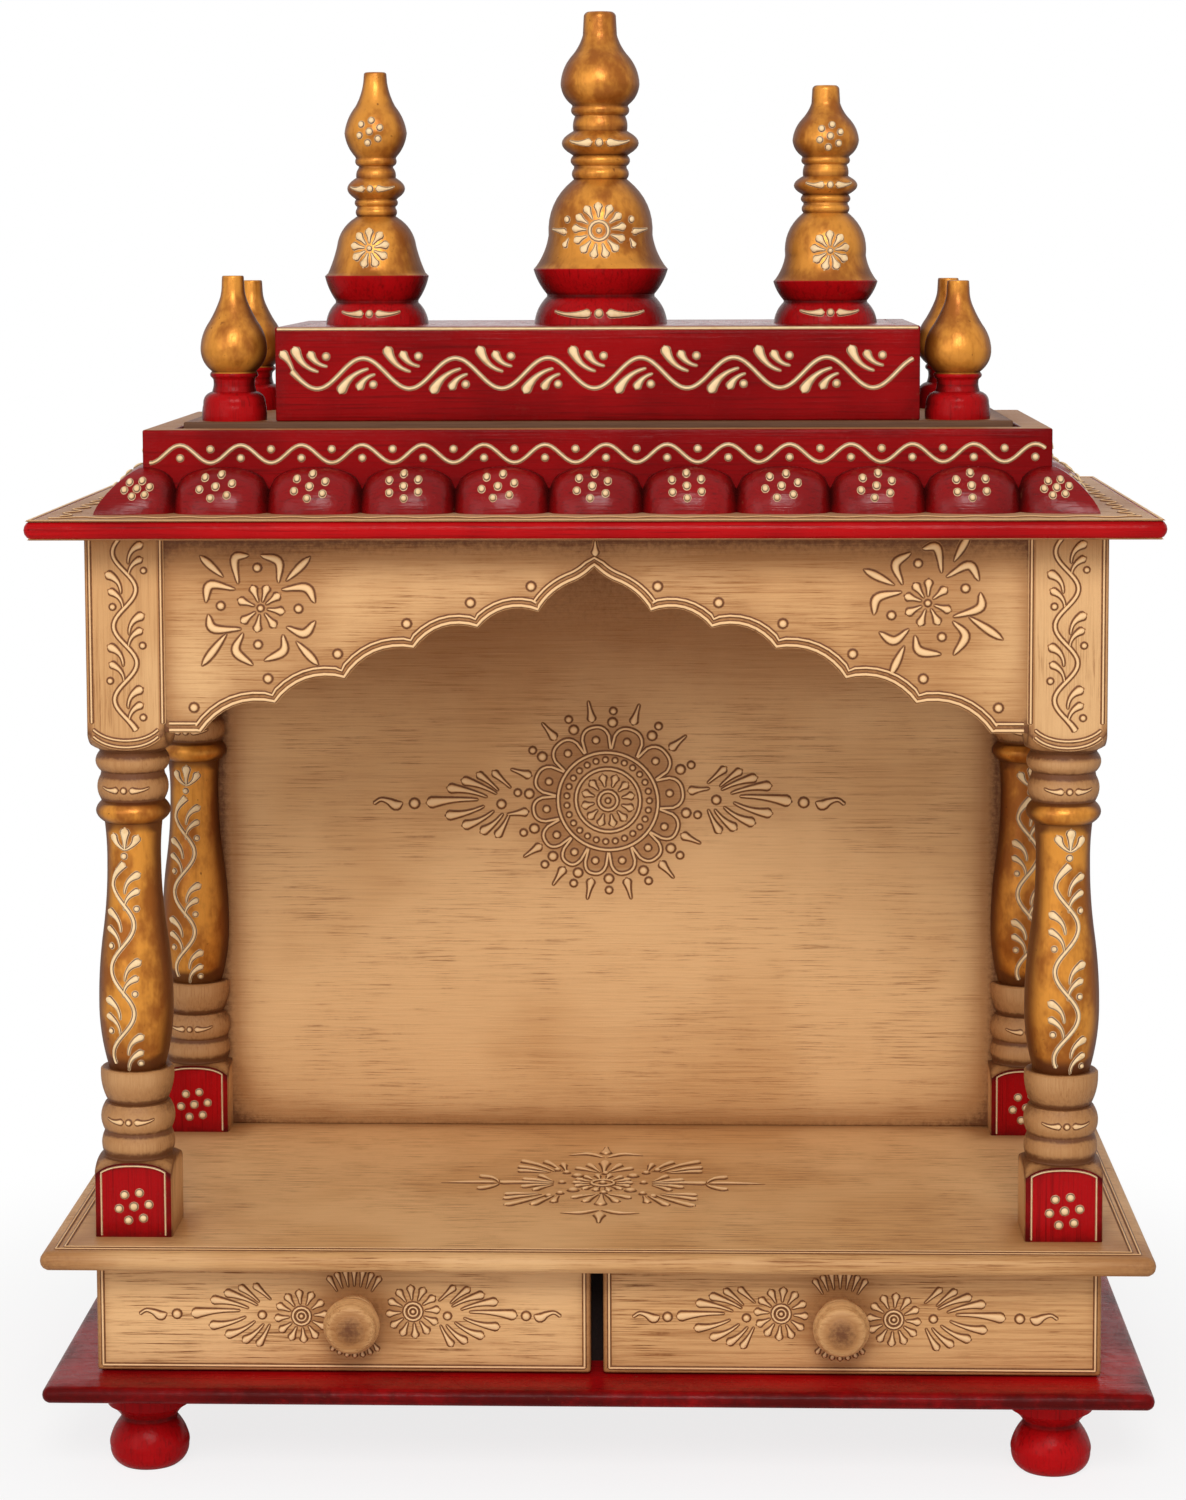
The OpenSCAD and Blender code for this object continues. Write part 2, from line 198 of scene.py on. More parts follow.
@dataclass(frozen=True)
class AgedCream:
    """Cream paint dry-brushed over wood, with a brown glaze left in every hollow."""

    name: str
    grain: Grain
    cream: Colour = (0.66, 0.365, 0.150)
    pale: Colour = (0.80, 0.490, 0.230)
    bright: Colour = (0.86, 0.560, 0.290)
    tan: Colour = (0.34, 0.142, 0.042)
    brown: Colour = (0.115, 0.034, 0.009)
    streaks: float = 1.0

    def material(self) -> bpy.types.Material:
        """Cream, tan streaks along the grain, then glaze and painted shade where the mesh says they lie."""
        g = Graph(self.name)
        glaze_and_shade, crown = g.attribute("glaze_and_shade"), g.attribute("crown")
        broad = g.noise((7.0, 7.0, 7.0), 3.0)
        patch = g.noise((24.0, 24.0, 24.0), 5.0, 0.65)
        fibre = g.noise(self.grain.value, 5.0, 0.66)
        long_fibre = g.noise(tuple(0.36 * s for s in self.grain.value), 4.0, 0.6)
        speck = g.noise((900.0, 900.0, 900.0), 2.0)
        grit = g.noise((430.0, 430.0, 430.0), 5.0, 0.72)
        flat = 1.0 - crown.step(0.05, 0.5)
        streak = fibre.step(0.47, 0.62) * (0.25 + patch.step(0.40, 0.62) * 0.75) * self.streaks
        drag = long_fibre.step(0.47, 0.64) * broad.step(0.38, 0.60) * self.streaks
        tone = g.mix(broad.step(0.60, 0.40) * 0.75, self.cream, self.pale)
        tone = g.mix((streak * 0.62 + drag * 0.38) * flat, tone, self.tan)
        fleck = fibre.step(0.57, 0.66) * patch.step(0.46, 0.58) * flat
        tone = g.mix(fleck * 0.70 * self.streaks, tone, self.brown)
        tone = g.mix(crown.step(0.30, 0.90) * 0.85, tone, self.bright)
        soft = glaze_and_shade * (0.50 + patch * 0.6 + fibre * 0.5)
        tone = g.mix(soft.step(0.0, 0.42) * 0.80, tone, self.tan)
        hard = (glaze_and_shade * (0.30 + grit * 1.05 + fibre * 0.30)).step(0.34, 0.86)
        tone = g.mix(hard * 0.92, tone, self.brown)
        rough = 0.46 + streak * 0.14 + speck * 0.08
        height = fibre * 0.8 + speck * 0.15 + long_fibre * 0.5
        return g.finish(tone, rough, g.bump(height, 0.22), Specular_IOR_Level=0.25)


@dataclass(frozen=True)
class RedLacquer:
    """Glossy red lacquer with dark brushed streaks and glaze in its hollows."""

    name: str
    grain: Grain
    red: Colour = (0.330, 0.0030, 0.0045)
    bright: Colour = (0.460, 0.0050, 0.0065)
    dark: Colour = (0.050, 0.0030, 0.0025)
    worn: Colour = (0.200, 0.060, 0.028)
    shine: float = 0.06

    def material(self) -> bpy.types.Material:
        """Red, brushed darker along the grain, darker again where the mesh carries glaze and painted shade,
        with worn flecks where the mesh says so.
        """
        g = Graph(self.name)
        glaze_and_shade = g.attribute("glaze_and_shade")
        broad = g.noise((14.0, 14.0, 14.0), 3.0)
        brush = g.noise(tuple(0.6 * s for s in self.grain.value), 4.0, 0.6)
        chip = g.noise((170.0, 170.0, 170.0), 4.0, 0.7)
        wave = g.noise((120.0, 120.0, 120.0), 2.0)
        tone = g.mix(broad.step(0.32, 0.68), self.red, self.bright)
        tone = g.mix(brush.step(0.46, 0.78) * 0.55, tone, self.dark)
        tone = g.mix((glaze_and_shade * (0.45 + chip * 1.1)).step(0.06, 0.75) * 0.92, tone, self.dark)
        tone = g.mix(chip.step(0.67, 0.74) * glaze_and_shade.step(0.05, 0.35) * 0.8, tone, self.worn)
        rough = 0.17 + chip.step(0.4, 0.8) * 0.16 + glaze_and_shade * 0.12
        height = brush * 0.5 + wave * 1.2 + chip * 0.2
        return g.finish(tone, rough, g.bump(height, 0.30), Specular_IOR_Level=self.shine)


@dataclass(frozen=True)
class AgedGold:
    """Gold paint rubbed with a brown patina."""

    name: str
    gold: Colour = (0.660, 0.262, 0.036)
    deep: Colour = (0.320, 0.095, 0.011)
    brown: Colour = (0.085, 0.020, 0.004)

    def material(self) -> bpy.types.Material:
        """Gold with cloudy deeper patches, dark in its hollows and pin holes, and on the sides where the mesh
        carries painted shade.
        """
        g = Graph(self.name)
        glaze_and_shade = g.attribute("glaze_and_shade")
        cloud = g.noise((60.0, 60.0, 38.0), 4.0, 0.62)
        brush = g.noise((520.0, 520.0, 60.0), 3.0)
        pit = g.noise((420.0, 420.0, 420.0), 3.0, 0.6)
        tone = g.mix(cloud.step(0.40, 0.62), self.deep, self.gold)
        tone = g.mix(brush.step(0.50, 0.80) * 0.35, tone, self.deep)
        tone = g.mix((glaze_and_shade * (0.5 + cloud)).step(0.04, 0.72) * 0.9, tone, self.brown)
        tone = g.mix(pit.step(0.68, 0.74) * 0.6, tone, self.brown)
        rough = 0.27 + cloud * 0.12 + glaze_and_shade * 0.2
        height = brush * 0.5 + pit * 0.5 + cloud * 0.6
        return g.finish(tone, rough, g.bump(height, 0.22), Metallic=0.40, Specular_IOR_Level=0.2)


@dataclass(frozen=True)
class PipedPaint:
    """Thick cream paint piped from a cone on lacquer and gold."""

    name: str
    cream: Colour = (0.86, 0.62, 0.34)
    amber: Colour = (0.70, 0.42, 0.17)
    foot: Colour = (0.070, 0.012, 0.006)

    def material(self) -> bpy.types.Material:
        """Cream on the crown of a stroke, dark at its foot."""
        g = Graph(self.name)
        glaze_and_shade, crown = g.attribute("glaze_and_shade"), g.attribute("crown")
        spot = g.noise((330.0, 330.0, 330.0), 3.0)
        tone = g.mix(spot.step(0.45, 0.75) * 0.6, self.cream, self.amber)
        tone = g.mix(glaze_and_shade.step(0.30, 0.95), tone, self.foot)
        rough = 0.42 + spot * 0.12
        return g.finish(tone, rough, g.bump(spot + crown * 0.1, 0.06), Specular_IOR_Level=0.4)


@dataclass(frozen=True)
class BareWood:
    """Plain brown wood, oiled and unpainted."""

    name: str
    grain: Grain
    wood: Colour = (0.230, 0.105, 0.045)
    dark: Colour = (0.090, 0.036, 0.015)

    def material(self) -> bpy.types.Material:
        """Brown wood with darker fibres along the grain."""
        g = Graph(self.name)
        glaze_and_shade = g.attribute("glaze_and_shade")
        fibre = g.noise(self.grain.value, 5.0, 0.6)
        broad = g.noise(tuple(0.12 * s for s in self.grain.value), 3.0)
        tone = g.mix(fibre.step(0.40, 0.72) * 0.7 + broad.step(0.45, 0.7) * 0.3, self.wood, self.dark)
        tone = g.mix(glaze_and_shade.step(0.05, 0.9) * 0.8, tone, self.dark)
        return g.finish(tone, 0.62 + fibre * 0.12, g.bump(fibre, 0.18), Specular_IOR_Level=0.3)


class Paints:
    """Every finish of the temple, each made once."""

    def __init__(self) -> None:
        """Mixes the finishes."""
        self.cream_x = AgedCream("cream_along_x", Grain.ALONG_X, streaks=1.15).material()
        self.cream_y = AgedCream("cream_along_y", Grain.ALONG_Y).material()
        self.cream_z = AgedCream("cream_along_z", Grain.ALONG_Z, streaks=0.7).material()
        self.calm = AgedCream("cream_panel", Grain.ALONG_X, streaks=0.62).material()
        self.washed = AgedCream(
            "cream_worn_brown", Grain.ALONG_X, cream=(0.42, 0.21, 0.10), pale=(0.58, 0.34, 0.18), streaks=1.2
        ).material()
        deep = {"red": (0.180, 0.0022, 0.0030), "bright": (0.290, 0.0035, 0.0045), "shine": 0.05}
        self.red_x = RedLacquer("lacquer_along_x", Grain.ALONG_X).material()
        self.deep_x = RedLacquer("deep_lacquer_along_x", Grain.ALONG_X, **deep).material()
        self.deep_y = RedLacquer("deep_lacquer_along_y", Grain.ALONG_Y, **deep).material()
        self.lobes = RedLacquer("lobe_lacquer", Grain.ALONG_X, **{**deep, "shine": 0.16}).material()
        self.red_z = RedLacquer("lacquer_along_z", Grain.ALONG_Z).material()
        self.gold = AgedGold("aged_gold").material()
        self.piped = PipedPaint("piped_cream").material()
        self.wood_x = BareWood("wood_along_x", Grain.ALONG_X).material()
        self.wood_y = BareWood("wood_along_y", Grain.ALONG_Y).material()
        # Near-black wood as painted shadow, for the divider seen through the gap between the drawers.
        darkened = {"wood": (0.020, 0.008, 0.005), "dark": (0.008, 0.003, 0.002)}
        self.shaded = BareWood("wood_painted_shadow", Grain.ALONG_Y, **darkened).material()


# ---------------------------------------------------------------- surfaces


def bowed(nodes: Nodes, steps: int = 8) -> Array:
    """Joins nodes (x, y, bow) by bowed lines.

    Each run is a + d t + 4 bow t (1 - t) s, where s is the unit normal on the right of d.

    Args:
        nodes: points with the bow of the run that starts there.
        steps: parts that each run is cut into.

    Returns:
        Points, one row each.
    """
    n = np.asarray(nodes, float)
    a, d = n[:-1, None, :2], np.diff(n[:, :2], axis=0)[:, None]
    t = (np.arange(steps) / steps)[None, :, None]
    side = np.concatenate([d[..., 1:], -d[..., :1]], -1) / np.linalg.norm(d, axis=-1, keepdims=True)
    runs = a + d * t + side * (4 * n[:-1, None, 2:] * t * (1 - t))
    return np.vstack([runs.reshape(-1, 2), n[-1, :2]])


def spaced(low: float, high: float, step: float) -> Array:
    """Evenly spaced values from low to high, no further apart than step."""
    return np.linspace(low, high, max(2, int(math.ceil((high - low) / step)) + 1))


def flowing(points: Array, count: int) -> Array:
    """A smooth curve through the points: cubic runs whose slopes join each point's neighbours."""
    p = np.asarray(points, float)
    m = np.gradient(p, axis=0)
    t = np.linspace(0, len(p) - 1, count)
    i = np.minimum(t.astype(int), len(p) - 2)
    f = (t - i)[:, None]
    a, b, ma, mb = p[i], p[i + 1], m[i], m[i + 1]
    ends = a * (2 * f**3 - 3 * f**2 + 1) + b * (3 * f**2 - 2 * f**3)
    return ends + ma * (f**3 - 2 * f**2 + f) + mb * (f**3 - f**2)


class Lie(Enum):
    """How a piece worked out on its own x, y, z lies in the temple's frame."""

    FLAT = ((1, 0, 0), (0, 1, 0), (0, 0, 1))
    FACING_FRONT = ((1, 0, 0), (0, 0, 1), (0, -1, 0))
    FACING_RIGHT = ((0, 1, 0), (0, 0, 1), (1, 0, 0))
    FACING_LEFT = ((0, -1, 0), (0, 0, 1), (-1, 0, 0))
    FACING_REAR = ((-1, 0, 0), (0, 0, 1), (0, 1, 0))

    def lay(self, points: Array) -> Array:
        """Own coordinates to the temple's."""
        return points @ np.array(self.value, float)

    def own(self, points: Array) -> Array:
        """The temple's coordinates to the piece's own."""
        return points @ np.array(self.value, float).T


@dataclass
class Skin:
    """The surfaces of one piece, gathered and then written as one mesh."""

    name: str
    paints: Sequence[bpy.types.Material]
    points: list = field(default_factory=list)
    quads: list = field(default_factory=list)
    marks: list = field(default_factory=list)
    coats: list = field(default_factory=list)
    count: int = 0

    def lay(
        self,
        grid: Array,
        glaze_and_shade: Array | float = 0.0,
        crown: Array | float = 0.0,
        paint: Array | int = 0,
        flip: bool = False,
        upper: int | None = None,
    ) -> None:
        """Adds a surface given as a grid of points.

        Args:
            grid: rows by columns by three; rows x columns points outwards.
            glaze_and_shade: brown glaze at each point, 0 to 1; on some pieces it also carries painted shade.
            crown: height on a piped stroke, 0 to 1.
            paint: number of the finish of each face, or one for all.
            flip: turns the faces over.
            upper: finish of the faces that look up, if it differs.
        """
        rows, cols = grid.shape[:2]
        index = np.arange(rows * cols).reshape(rows, cols) + self.count
        around = [index[:-1, :-1], index[1:, :-1], index[1:, 1:], index[:-1, 1:]]
        quads = np.stack(around, -1).reshape(-1, 4)
        coats = np.broadcast_to(np.asarray(paint), (rows - 1, cols - 1)).reshape(-1).copy()
        if flip:
            quads = quads[:, ::-1]
        if upper is not None:
            p = grid.reshape(-1, 3)[quads - self.count]
            normal = np.cross(p[:, 2] - p[:, 0], p[:, 3] - p[:, 1])
            coats[normal[:, 2] > 0.8 * np.linalg.norm(normal, axis=1)] = upper
        marks = [np.broadcast_to(np.asarray(m, float), (rows, cols)).reshape(-1) for m in (glaze_and_shade, crown)]
        self.points.append(grid.reshape(-1, 3))
        self.quads.append(quads)
        self.marks.append(np.stack(marks, -1))
        self.coats.append(coats)
        self.count += rows * cols

    def piece(self, body: str, nodes: Sequence[str]) -> bpy.types.Object:
        """Writes the mesh, closes its seams and puts it on its body.

        Args:
            body: the body that it moves with.
            nodes: the frame nodes that it stands for.

        Returns:
            The new object.
        """
        mesh = bpy.data.meshes.new(self.name)
        mesh.from_pydata(np.concatenate(self.points) * MM, [], np.concatenate(self.quads))
        mesh.polygons.foreach_set("material_index", np.concatenate(self.coats).astype(np.int32))
        marks = np.concatenate(self.marks)
        for k, mark in enumerate(("glaze_and_shade", "crown")):
            layer = mesh.attributes.new(mark, "FLOAT", "POINT")
            layer.data.foreach_set("value", np.ascontiguousarray(marks[:, k], np.float32))
        work = bmesh.new()
        work.from_mesh(mesh)
        bmesh.ops.remove_doubles(work, verts=work.verts, dist=2e-6)
        work.to_mesh(mesh)
        work.free()
        mesh.polygons.foreach_set("use_smooth", np.ones(len(mesh.polygons), bool))
        mesh.set_sharp_from_angle(angle=math.radians(36))
        for paint in self.paints:
            mesh.materials.append(paint)
        made = bpy.data.objects.new(self.name, mesh)
        bpy.context.scene.collection.objects.link(made)
        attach(made, body)
        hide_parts(*nodes)
        log.info("%s: %d faces on %s", self.name, len(mesh.polygons), body)
        return made


def span(node: str) -> tuple[Array, Array]:
    """Lowest and highest corner of a frame node in millimetres."""
    low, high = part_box(node)
    return np.array(low) / MM, np.array(high) / MM


def half_round(thick: float, steps: int = 8) -> Array:
    """A half-round edge as (out, height): out = r cos a, height = r sin a, from +r to -r."""
    a = np.linspace(math.pi / 2, -math.pi / 2, steps + 1)
    return np.stack([np.cos(a), np.sin(a)], -1) * thick / 2


def eased(thick: float, ease: float, steps: int = 3) -> Array:
    """A square edge with its corners rounded by ease, as (out, height) from the top down."""
    a = np.linspace(0, math.pi / 2, steps + 1)
    top = np.stack([ease * np.sin(a), thick / 2 - ease + ease * np.cos(a)], -1)
    return np.vstack([top, top[::-1] * [1, -1]])


def rim(xs: Array, ys: Array, corner: int = 4) -> tuple[Array, Array]:
    """Walks round the rectangle of grid lines, the left hand inwards.

    Args:
        xs: grid lines across.
        ys: grid lines up.
        corner: parts that each corner's quarter turn is cut into.

    Returns:
        Points on the rectangle, and the outward direction at each.
    """
    sides = [
        (np.stack([xs, np.full_like(xs, ys[0])], -1), -90.0),
        (np.stack([np.full_like(ys, xs[-1]), ys], -1), 0.0),
        (np.stack([xs[::-1], np.full_like(xs, ys[-1])], -1), 90.0),
        (np.stack([np.full_like(ys, xs[0]), ys[::-1]], -1), 180.0),
    ]
    fan = np.arange(1, corner) * 90.0 / corner
    points, angles = [], []
    for line, angle in sides:
        points += [line, np.repeat(line[-1:], len(fan), 0)]
        angles += [np.full(len(line), angle), angle + fan]
    points.append(sides[0][0][:1])
    angles.append([270.0])
    turn = np.radians(np.concatenate(angles))
    return np.concatenate(points), np.stack([np.cos(turn), np.sin(turn)], -1)


@dataclass
class Board:
    """A board: two flat faces on a grid, joined by an edge profile carried round its rim."""

    low: Array
    high: Array
    lie: Lie = Lie.FLAT
    edge: Array | None = None
    step: float = 8.0
    stain_and_shade: StainAndShade | None = None
    edge_wash: float = 0.35
    reach: float = 5.0

    def lay_on(self, skin: Skin, paint: int = 0, sides: int | None = None, back: int | None = None,
               upper: int | None = None) -> None:
        """Adds the board to a skin.

        Args:
            skin: where it goes.
            paint: finish of its face.
            sides: finish of its edges, or the same.
            back: finish of its back, or the same.
            upper: finish of every face that looks up, or the same.
        """
        a, b = self.lie.own(self.low), self.lie.own(self.high)
        low, high = np.minimum(a, b), np.maximum(a, b)
        thick, middle = high[2] - low[2], (high[2] + low[2]) / 2
        edge = self.edge if self.edge is not None else eased(thick, min(0.8, thick / 4))
        out = edge[:, 0].max()
        xs = spaced(low[0] + out, high[0] - out, self.step)
        ys = spaced(low[1] + out, high[1] - out, self.step)
        across, up = np.meshgrid(xs, ys, indexing="ij")
        for side, level in ((1, edge[0, 1]), (-1, edge[-1, 1])):
            face = np.stack([across, up, np.full_like(across, middle + level)], -1)
            paint_here = paint if side > 0 else (paint if back is None else back)
            skin.lay(self.lie.lay(face), self.glaze(across, up, low, high, side > 0), 0.0, paint_here,
                     side < 0, upper)
        ring, away = rim(xs, ys)
        flat = ring[:, None] + away[:, None] * edge[None, :, :1]
        level = np.broadcast_to(middle + edge[None, :, 1:], (*flat.shape[:2], 1))
        band = np.concatenate([flat, level], -1)
        glaze_and_shade = self.glaze(flat[..., 0], flat[..., 1], low, high, True)
        skin.lay(self.lie.lay(band), glaze_and_shade, 0.0, paint if sides is None else sides, True, upper)

    def glaze(self, x: Array, y: Array, low: Array, high: Array, face: bool) -> Array:
        """Glaze that fades inwards from the rim as exp(-distance / reach), with the board's own darkening,
        which on the back panel holds painted shade.
        """
        near = np.minimum(np.minimum(x - low[0], high[0] - x), np.minimum(y - low[1], high[1] - y))
        glaze_and_shade = self.edge_wash * np.exp(-np.maximum(near, 0) / self.reach)
        if self.stain_and_shade is not None and face:
            glaze_and_shade = glaze_and_shade + self.stain_and_shade(x, y)
        return np.clip(glaze_and_shade, 0, 1)


def hollows(profile: Array, window: float = 3.5, depth: float = 2.6) -> Array:
    """How deep each point of a turned profile lies between higher neighbours, from 0 to 1."""
    r, z = profile[:, 0], profile[:, 1]
    gap = z[None, :] - z[:, None]
    above = np.where((gap >= 0) & (gap < window), r[None, :], 0).max(1) - r
    below = np.where((gap <= 0) & (gap > -window), r[None, :], 0).max(1) - r
    return np.clip((0.7 * np.minimum(above, below) + 0.3 * np.maximum(above, below)) / depth, 0, 1)


@dataclass
class Lathe:
    """A turned piece: its profile (r, z) swept round an axis, closed with a pole at each end."""

    profile: Array
    centre: Array
    lie: Lie = Lie.FLAT
    around: int = 80
    glaze: float = 0.75
    tip: float = 0.3
    # Share of painted shade on the sides that face left and right.
    side_shade: float = 0.0

    def lay_on(self, skin: Skin, bands: Sequence[tuple[float, int]] = ((1e9, 0),)) -> None:
        """Adds the turned piece to a skin.

        Args:
            skin: where it goes.
            bands: (height, finish) pairs: each finish runs up to its height.
        """
        p = np.vstack([[0, self.profile[0, 1]], self.profile, [0, self.profile[-1, 1]]])
        a = np.linspace(0, 2 * math.pi, self.around + 1)[:, None]
        height = np.broadcast_to(p[:, 1], (len(a), len(p)))
        grid = np.stack([p[:, 0] * np.cos(a), p[:, 0] * np.sin(a), height], -1)
        glaze_and_shade = np.concatenate([[0.4], hollows(self.profile) * self.glaze, [self.tip]])
        glaze_and_shade[-3:-1] = np.maximum(glaze_and_shade[-3:-1], 0.6 * self.tip)
        middles = (p[1:, 1] + p[:-1, 1]) / 2
        tops = np.array([b[0] for b in bands])
        coats = np.array([b[1] for b in bands])[np.searchsorted(tops, middles)]
        # Painted shade: darker towards the sides that face left and right, as seen from the front.
        side = self.side_shade * np.clip((np.abs(np.cos(a)) - 0.5) / 0.5, 0, 1) ** 1.6
        skin.lay(self.lie.lay(grid) + self.centre, np.clip(glaze_and_shade[None] + side, 0, 1), 0.0, coats[None])


# ---------------------------------------------------------------- piped relief


class Ground(Protocol):
    """A surface that piped paint lies on."""

    def place(self, u: Array, v: Array, h: Array) -> Array:
        """The point u across, v up and h out of the surface."""


@dataclass(frozen=True)
class FlatGround:
    """A flat face: origin + u across + v up + h (across x up)."""

    origin: Sequence[float]
    lie: Lie = Lie.FACING_FRONT

    def place(self, u: Array, v: Array, h: Array) -> Array:
        """The point u across, v up and h out of the face."""
        return self.lie.lay(np.stack([u, v, h], -1)) + np.asarray(self.origin, float)


@dataclass(frozen=True)
class TurnedGround:
    """The skin of a turned piece: u is the way round from its front and v the height."""

    profile: Array
    centre: Sequence[float]
    facing: float = -90.0

    def place(self, u: Array, v: Array, h: Array) -> Array:
        """The angle is facing + u / r(v), and h runs along the normal (1, -dr/dv)."""
        r, z = self.profile[:, 0], self.profile[:, 1]
        radius = np.interp(v, z, r)
        slope = (np.interp(v + 0.8, z, r) - np.interp(v - 0.8, z, r)) / 1.6
        tilt = np.hypot(1, slope)
        angle = math.radians(self.facing) + u / np.maximum(radius, 1)
        reach = radius + h / tilt
        away = np.stack([reach * np.cos(angle), reach * np.sin(angle), v - h * slope / tilt], -1)
        return away + np.asarray(self.centre, float)


def swelling(t: Array, fullest: float, least: float, power: float, pinch: float) -> Array:
    """Width along a stroke: least + (1 - least) sin(pi t^k)^power, full at fullest, pinched at its ends."""
    k = math.log(0.5) / math.log(fullest)
    ends = 1 - pinch * (t == 0) - pinch * (t == 1)
    return (least + (1 - least) * np.sin(math.pi * t**k) ** power) * ends


INNER = np.array([-1, -0.82, -0.45, 0, 0.45, 0.82, 1])
FOOT, SINK = 0.16, 0.05


@dataclass(frozen=True)
class Relief:
    """Piped paint on one ground, with a motif's own place, turn, scale and hand."""

    skin: Skin
    ground: Ground
    paint: int
    halo: float = 1.1
    rise: float = 1.0
    at_u: float = 0.0
    at_v: float = 0.0
    turn: float = 0.0
    scale: float = 1.0
    hand: float = 1.0

    def at(self, u: float, v: float, turn: float = 0.0, scale: float = 1.0, hand: float = 1.0) -> "Relief":
        """The same paint with a motif placed at (u, v), turned, scaled or mirrored by hand = -1."""
        where = self.to_ground(np.array([[u, v]]))[0]
        return replace(self, at_u=where[0], at_v=where[1], turn=self.turn + self.hand * turn,
                       scale=self.scale * scale, hand=self.hand * hand)

    def to_ground(self, points: Array) -> Array:
        """Motif coordinates to the ground's: mirror, scale, turn, then move."""
        a = math.radians(self.turn)
        p = np.asarray(points, float) * [self.hand * self.scale, self.scale]
        turned = p @ np.array([[math.cos(a), math.sin(a)], [-math.sin(a), math.cos(a)]])
        return turned + [self.at_u, self.at_v]

    def sweep(self, line: Array, half: Array, closed: bool = False) -> None:
        """Carries a low ridge with a sloping stained foot along a line.

        Across the line the height is foot + rise sqrt(1 - s^2) for s from -1 to 1, and beyond the
        edge it falls as a cone, foot - (foot + sink) d / halo, so neighbouring feet blend by the higher.

        Args:
            line: points in motif coordinates.
            half: half width at each point.
            closed: whether the line is a loop.
        """
        line, half = self.to_ground(line), np.asarray(half, float) * self.scale
        over = np.zeros(len(line))
        if not closed:
            first, last = line[0] - line[1], line[-1] - line[-2]
            first, last = first / np.linalg.norm(first), last / np.linalg.norm(last)
            steps = np.array([1.0, 0.5]) * self.halo
            line = np.vstack([line[0] + steps[:, None] * first, line, line[-1] + steps[::-1, None] * last])
            over = np.concatenate([steps, over, steps[::-1]])
            half = np.concatenate([[0, 0], half, [0, 0]])
            along = np.gradient(line, axis=0)
        else:
            loop = np.vstack([line[-2], line, line[1]])
            along = (loop[2:] - loop[:-2]) / 2
        along = along / np.maximum(np.linalg.norm(along, axis=1, keepdims=True), 1e-9)
        left = np.stack([-along[:, 1], along[:, 0]], -1)
        s = np.concatenate([[-1, -1], INNER, [1, 1]])
        beyond = np.concatenate([[-1, -0.5], np.zeros(len(INNER)), [0.5, 1]]) * self.halo
        spread = np.sqrt(np.clip(1 - (over / self.halo) ** 2, 0, 1))[:, None]
        offset = half[:, None] * s + beyond * spread
        away = np.hypot(over[:, None], beyond * spread)
        where = line[:, None] + left[:, None] * offset[..., None]
        dome = np.sqrt(np.clip(1 - s**2, 0, 1))[None]
        tall = np.minimum(self.rise, half * 1.05)[:, None]
        height = np.where(away > 0, FOOT - (FOOT + SINK) * away / self.halo, FOOT + tall * dome)
        glaze_and_shade = np.where(away > 0, np.sqrt(1 - np.minimum(away / self.halo, 1)), (1 - dome) ** 1.8)
        crown = np.where(away > 0, 0, dome * np.minimum(1, tall / 0.5))
        self.skin.lay(self.ground.place(where[..., 0], where[..., 1], height), glaze_and_shade, crown, self.paint)

    def bead(self, u: float, v: float, radius: float) -> None:
        """A dot: a dome on a disc, with the same sloping foot."""
        radius = radius * self.scale
        parts = np.array([0, 0.4, 0.75, 0.95, 1.0])
        away = np.concatenate([np.zeros(len(parts)), [0.5, 1.0]]) * self.halo
        reach = np.concatenate([parts * radius, radius + away[-2:]])
        a = np.linspace(0, 2 * math.pi, 13)[:, None]
        u0, v0 = self.to_ground(np.array([[u, v]]))[0]
        dome = np.concatenate([np.sqrt(1 - parts**2), [0, 0]])
        tall = min(self.rise * 1.15, radius * 0.9)
        height = np.where(away > 0, FOOT - (FOOT + SINK) * away / self.halo, FOOT + tall * dome)
        glaze_and_shade = np.where(away > 0, np.sqrt(1 - away / self.halo), 1 - np.minimum(1, dome * 1.3))
        level = np.broadcast_to(height, (len(a), len(reach)))
        spots = self.ground.place(u0 + reach * np.cos(a), v0 + reach * np.sin(a), level)
        self.skin.lay(spots, glaze_and_shade[None], dome[None], self.paint, flip=True)

    def ring(self, u: float, v: float, radius: float, half: float = 0.6, wobble: float = 0.0) -> None:
        """A circle piped by hand: r = radius (1 + wobble cos 2a)."""
        a = np.linspace(0, 2 * math.pi, max(17, int(radius * 2.4)))
        r = radius * (1 + wobble * np.cos(2 * a + 1))
        self.sweep(np.stack([u + r * np.cos(a), v + r * np.sin(a)], -1), np.full(len(a), half), True)

    def comma(self, tail: Sequence[float], head: Sequence[float], width: float, bend: float = 0.0) -> None:
        """A drop with a thin tail and a round head of half width.

        The middle line is a quadratic curve whose control point lies bend times the length to the left.

        Args:
            tail: the thin end.
            head: the centre of the round end.
            width: half width of the head.
            bend: sideways bow as a share of the length.
        """
        a, b = np.asarray(tail, float), np.asarray(head, float)
        c = (a + b) / 2 + bend * np.array([a[1] - b[1], b[0] - a[0]])
        t = np.linspace(0, 1, 9)[:, None]
        body = a * (1 - t) ** 2 + 2 * c * t * (1 - t) + b * t**2
        ahead = (b - c) / max(np.linalg.norm(b - c), 1e-9)
        turn = np.radians([35, 65, 90])
        cap = b + ahead * width * np.sin(turn)[:, None]
        t = t[:, 0]
        girth = width * (0.20 + 0.80 * t**2)
        girth[0] = 0.1 * width
        self.sweep(np.vstack([body, cap]), np.concatenate([girth, width * np.cos(turn)]))

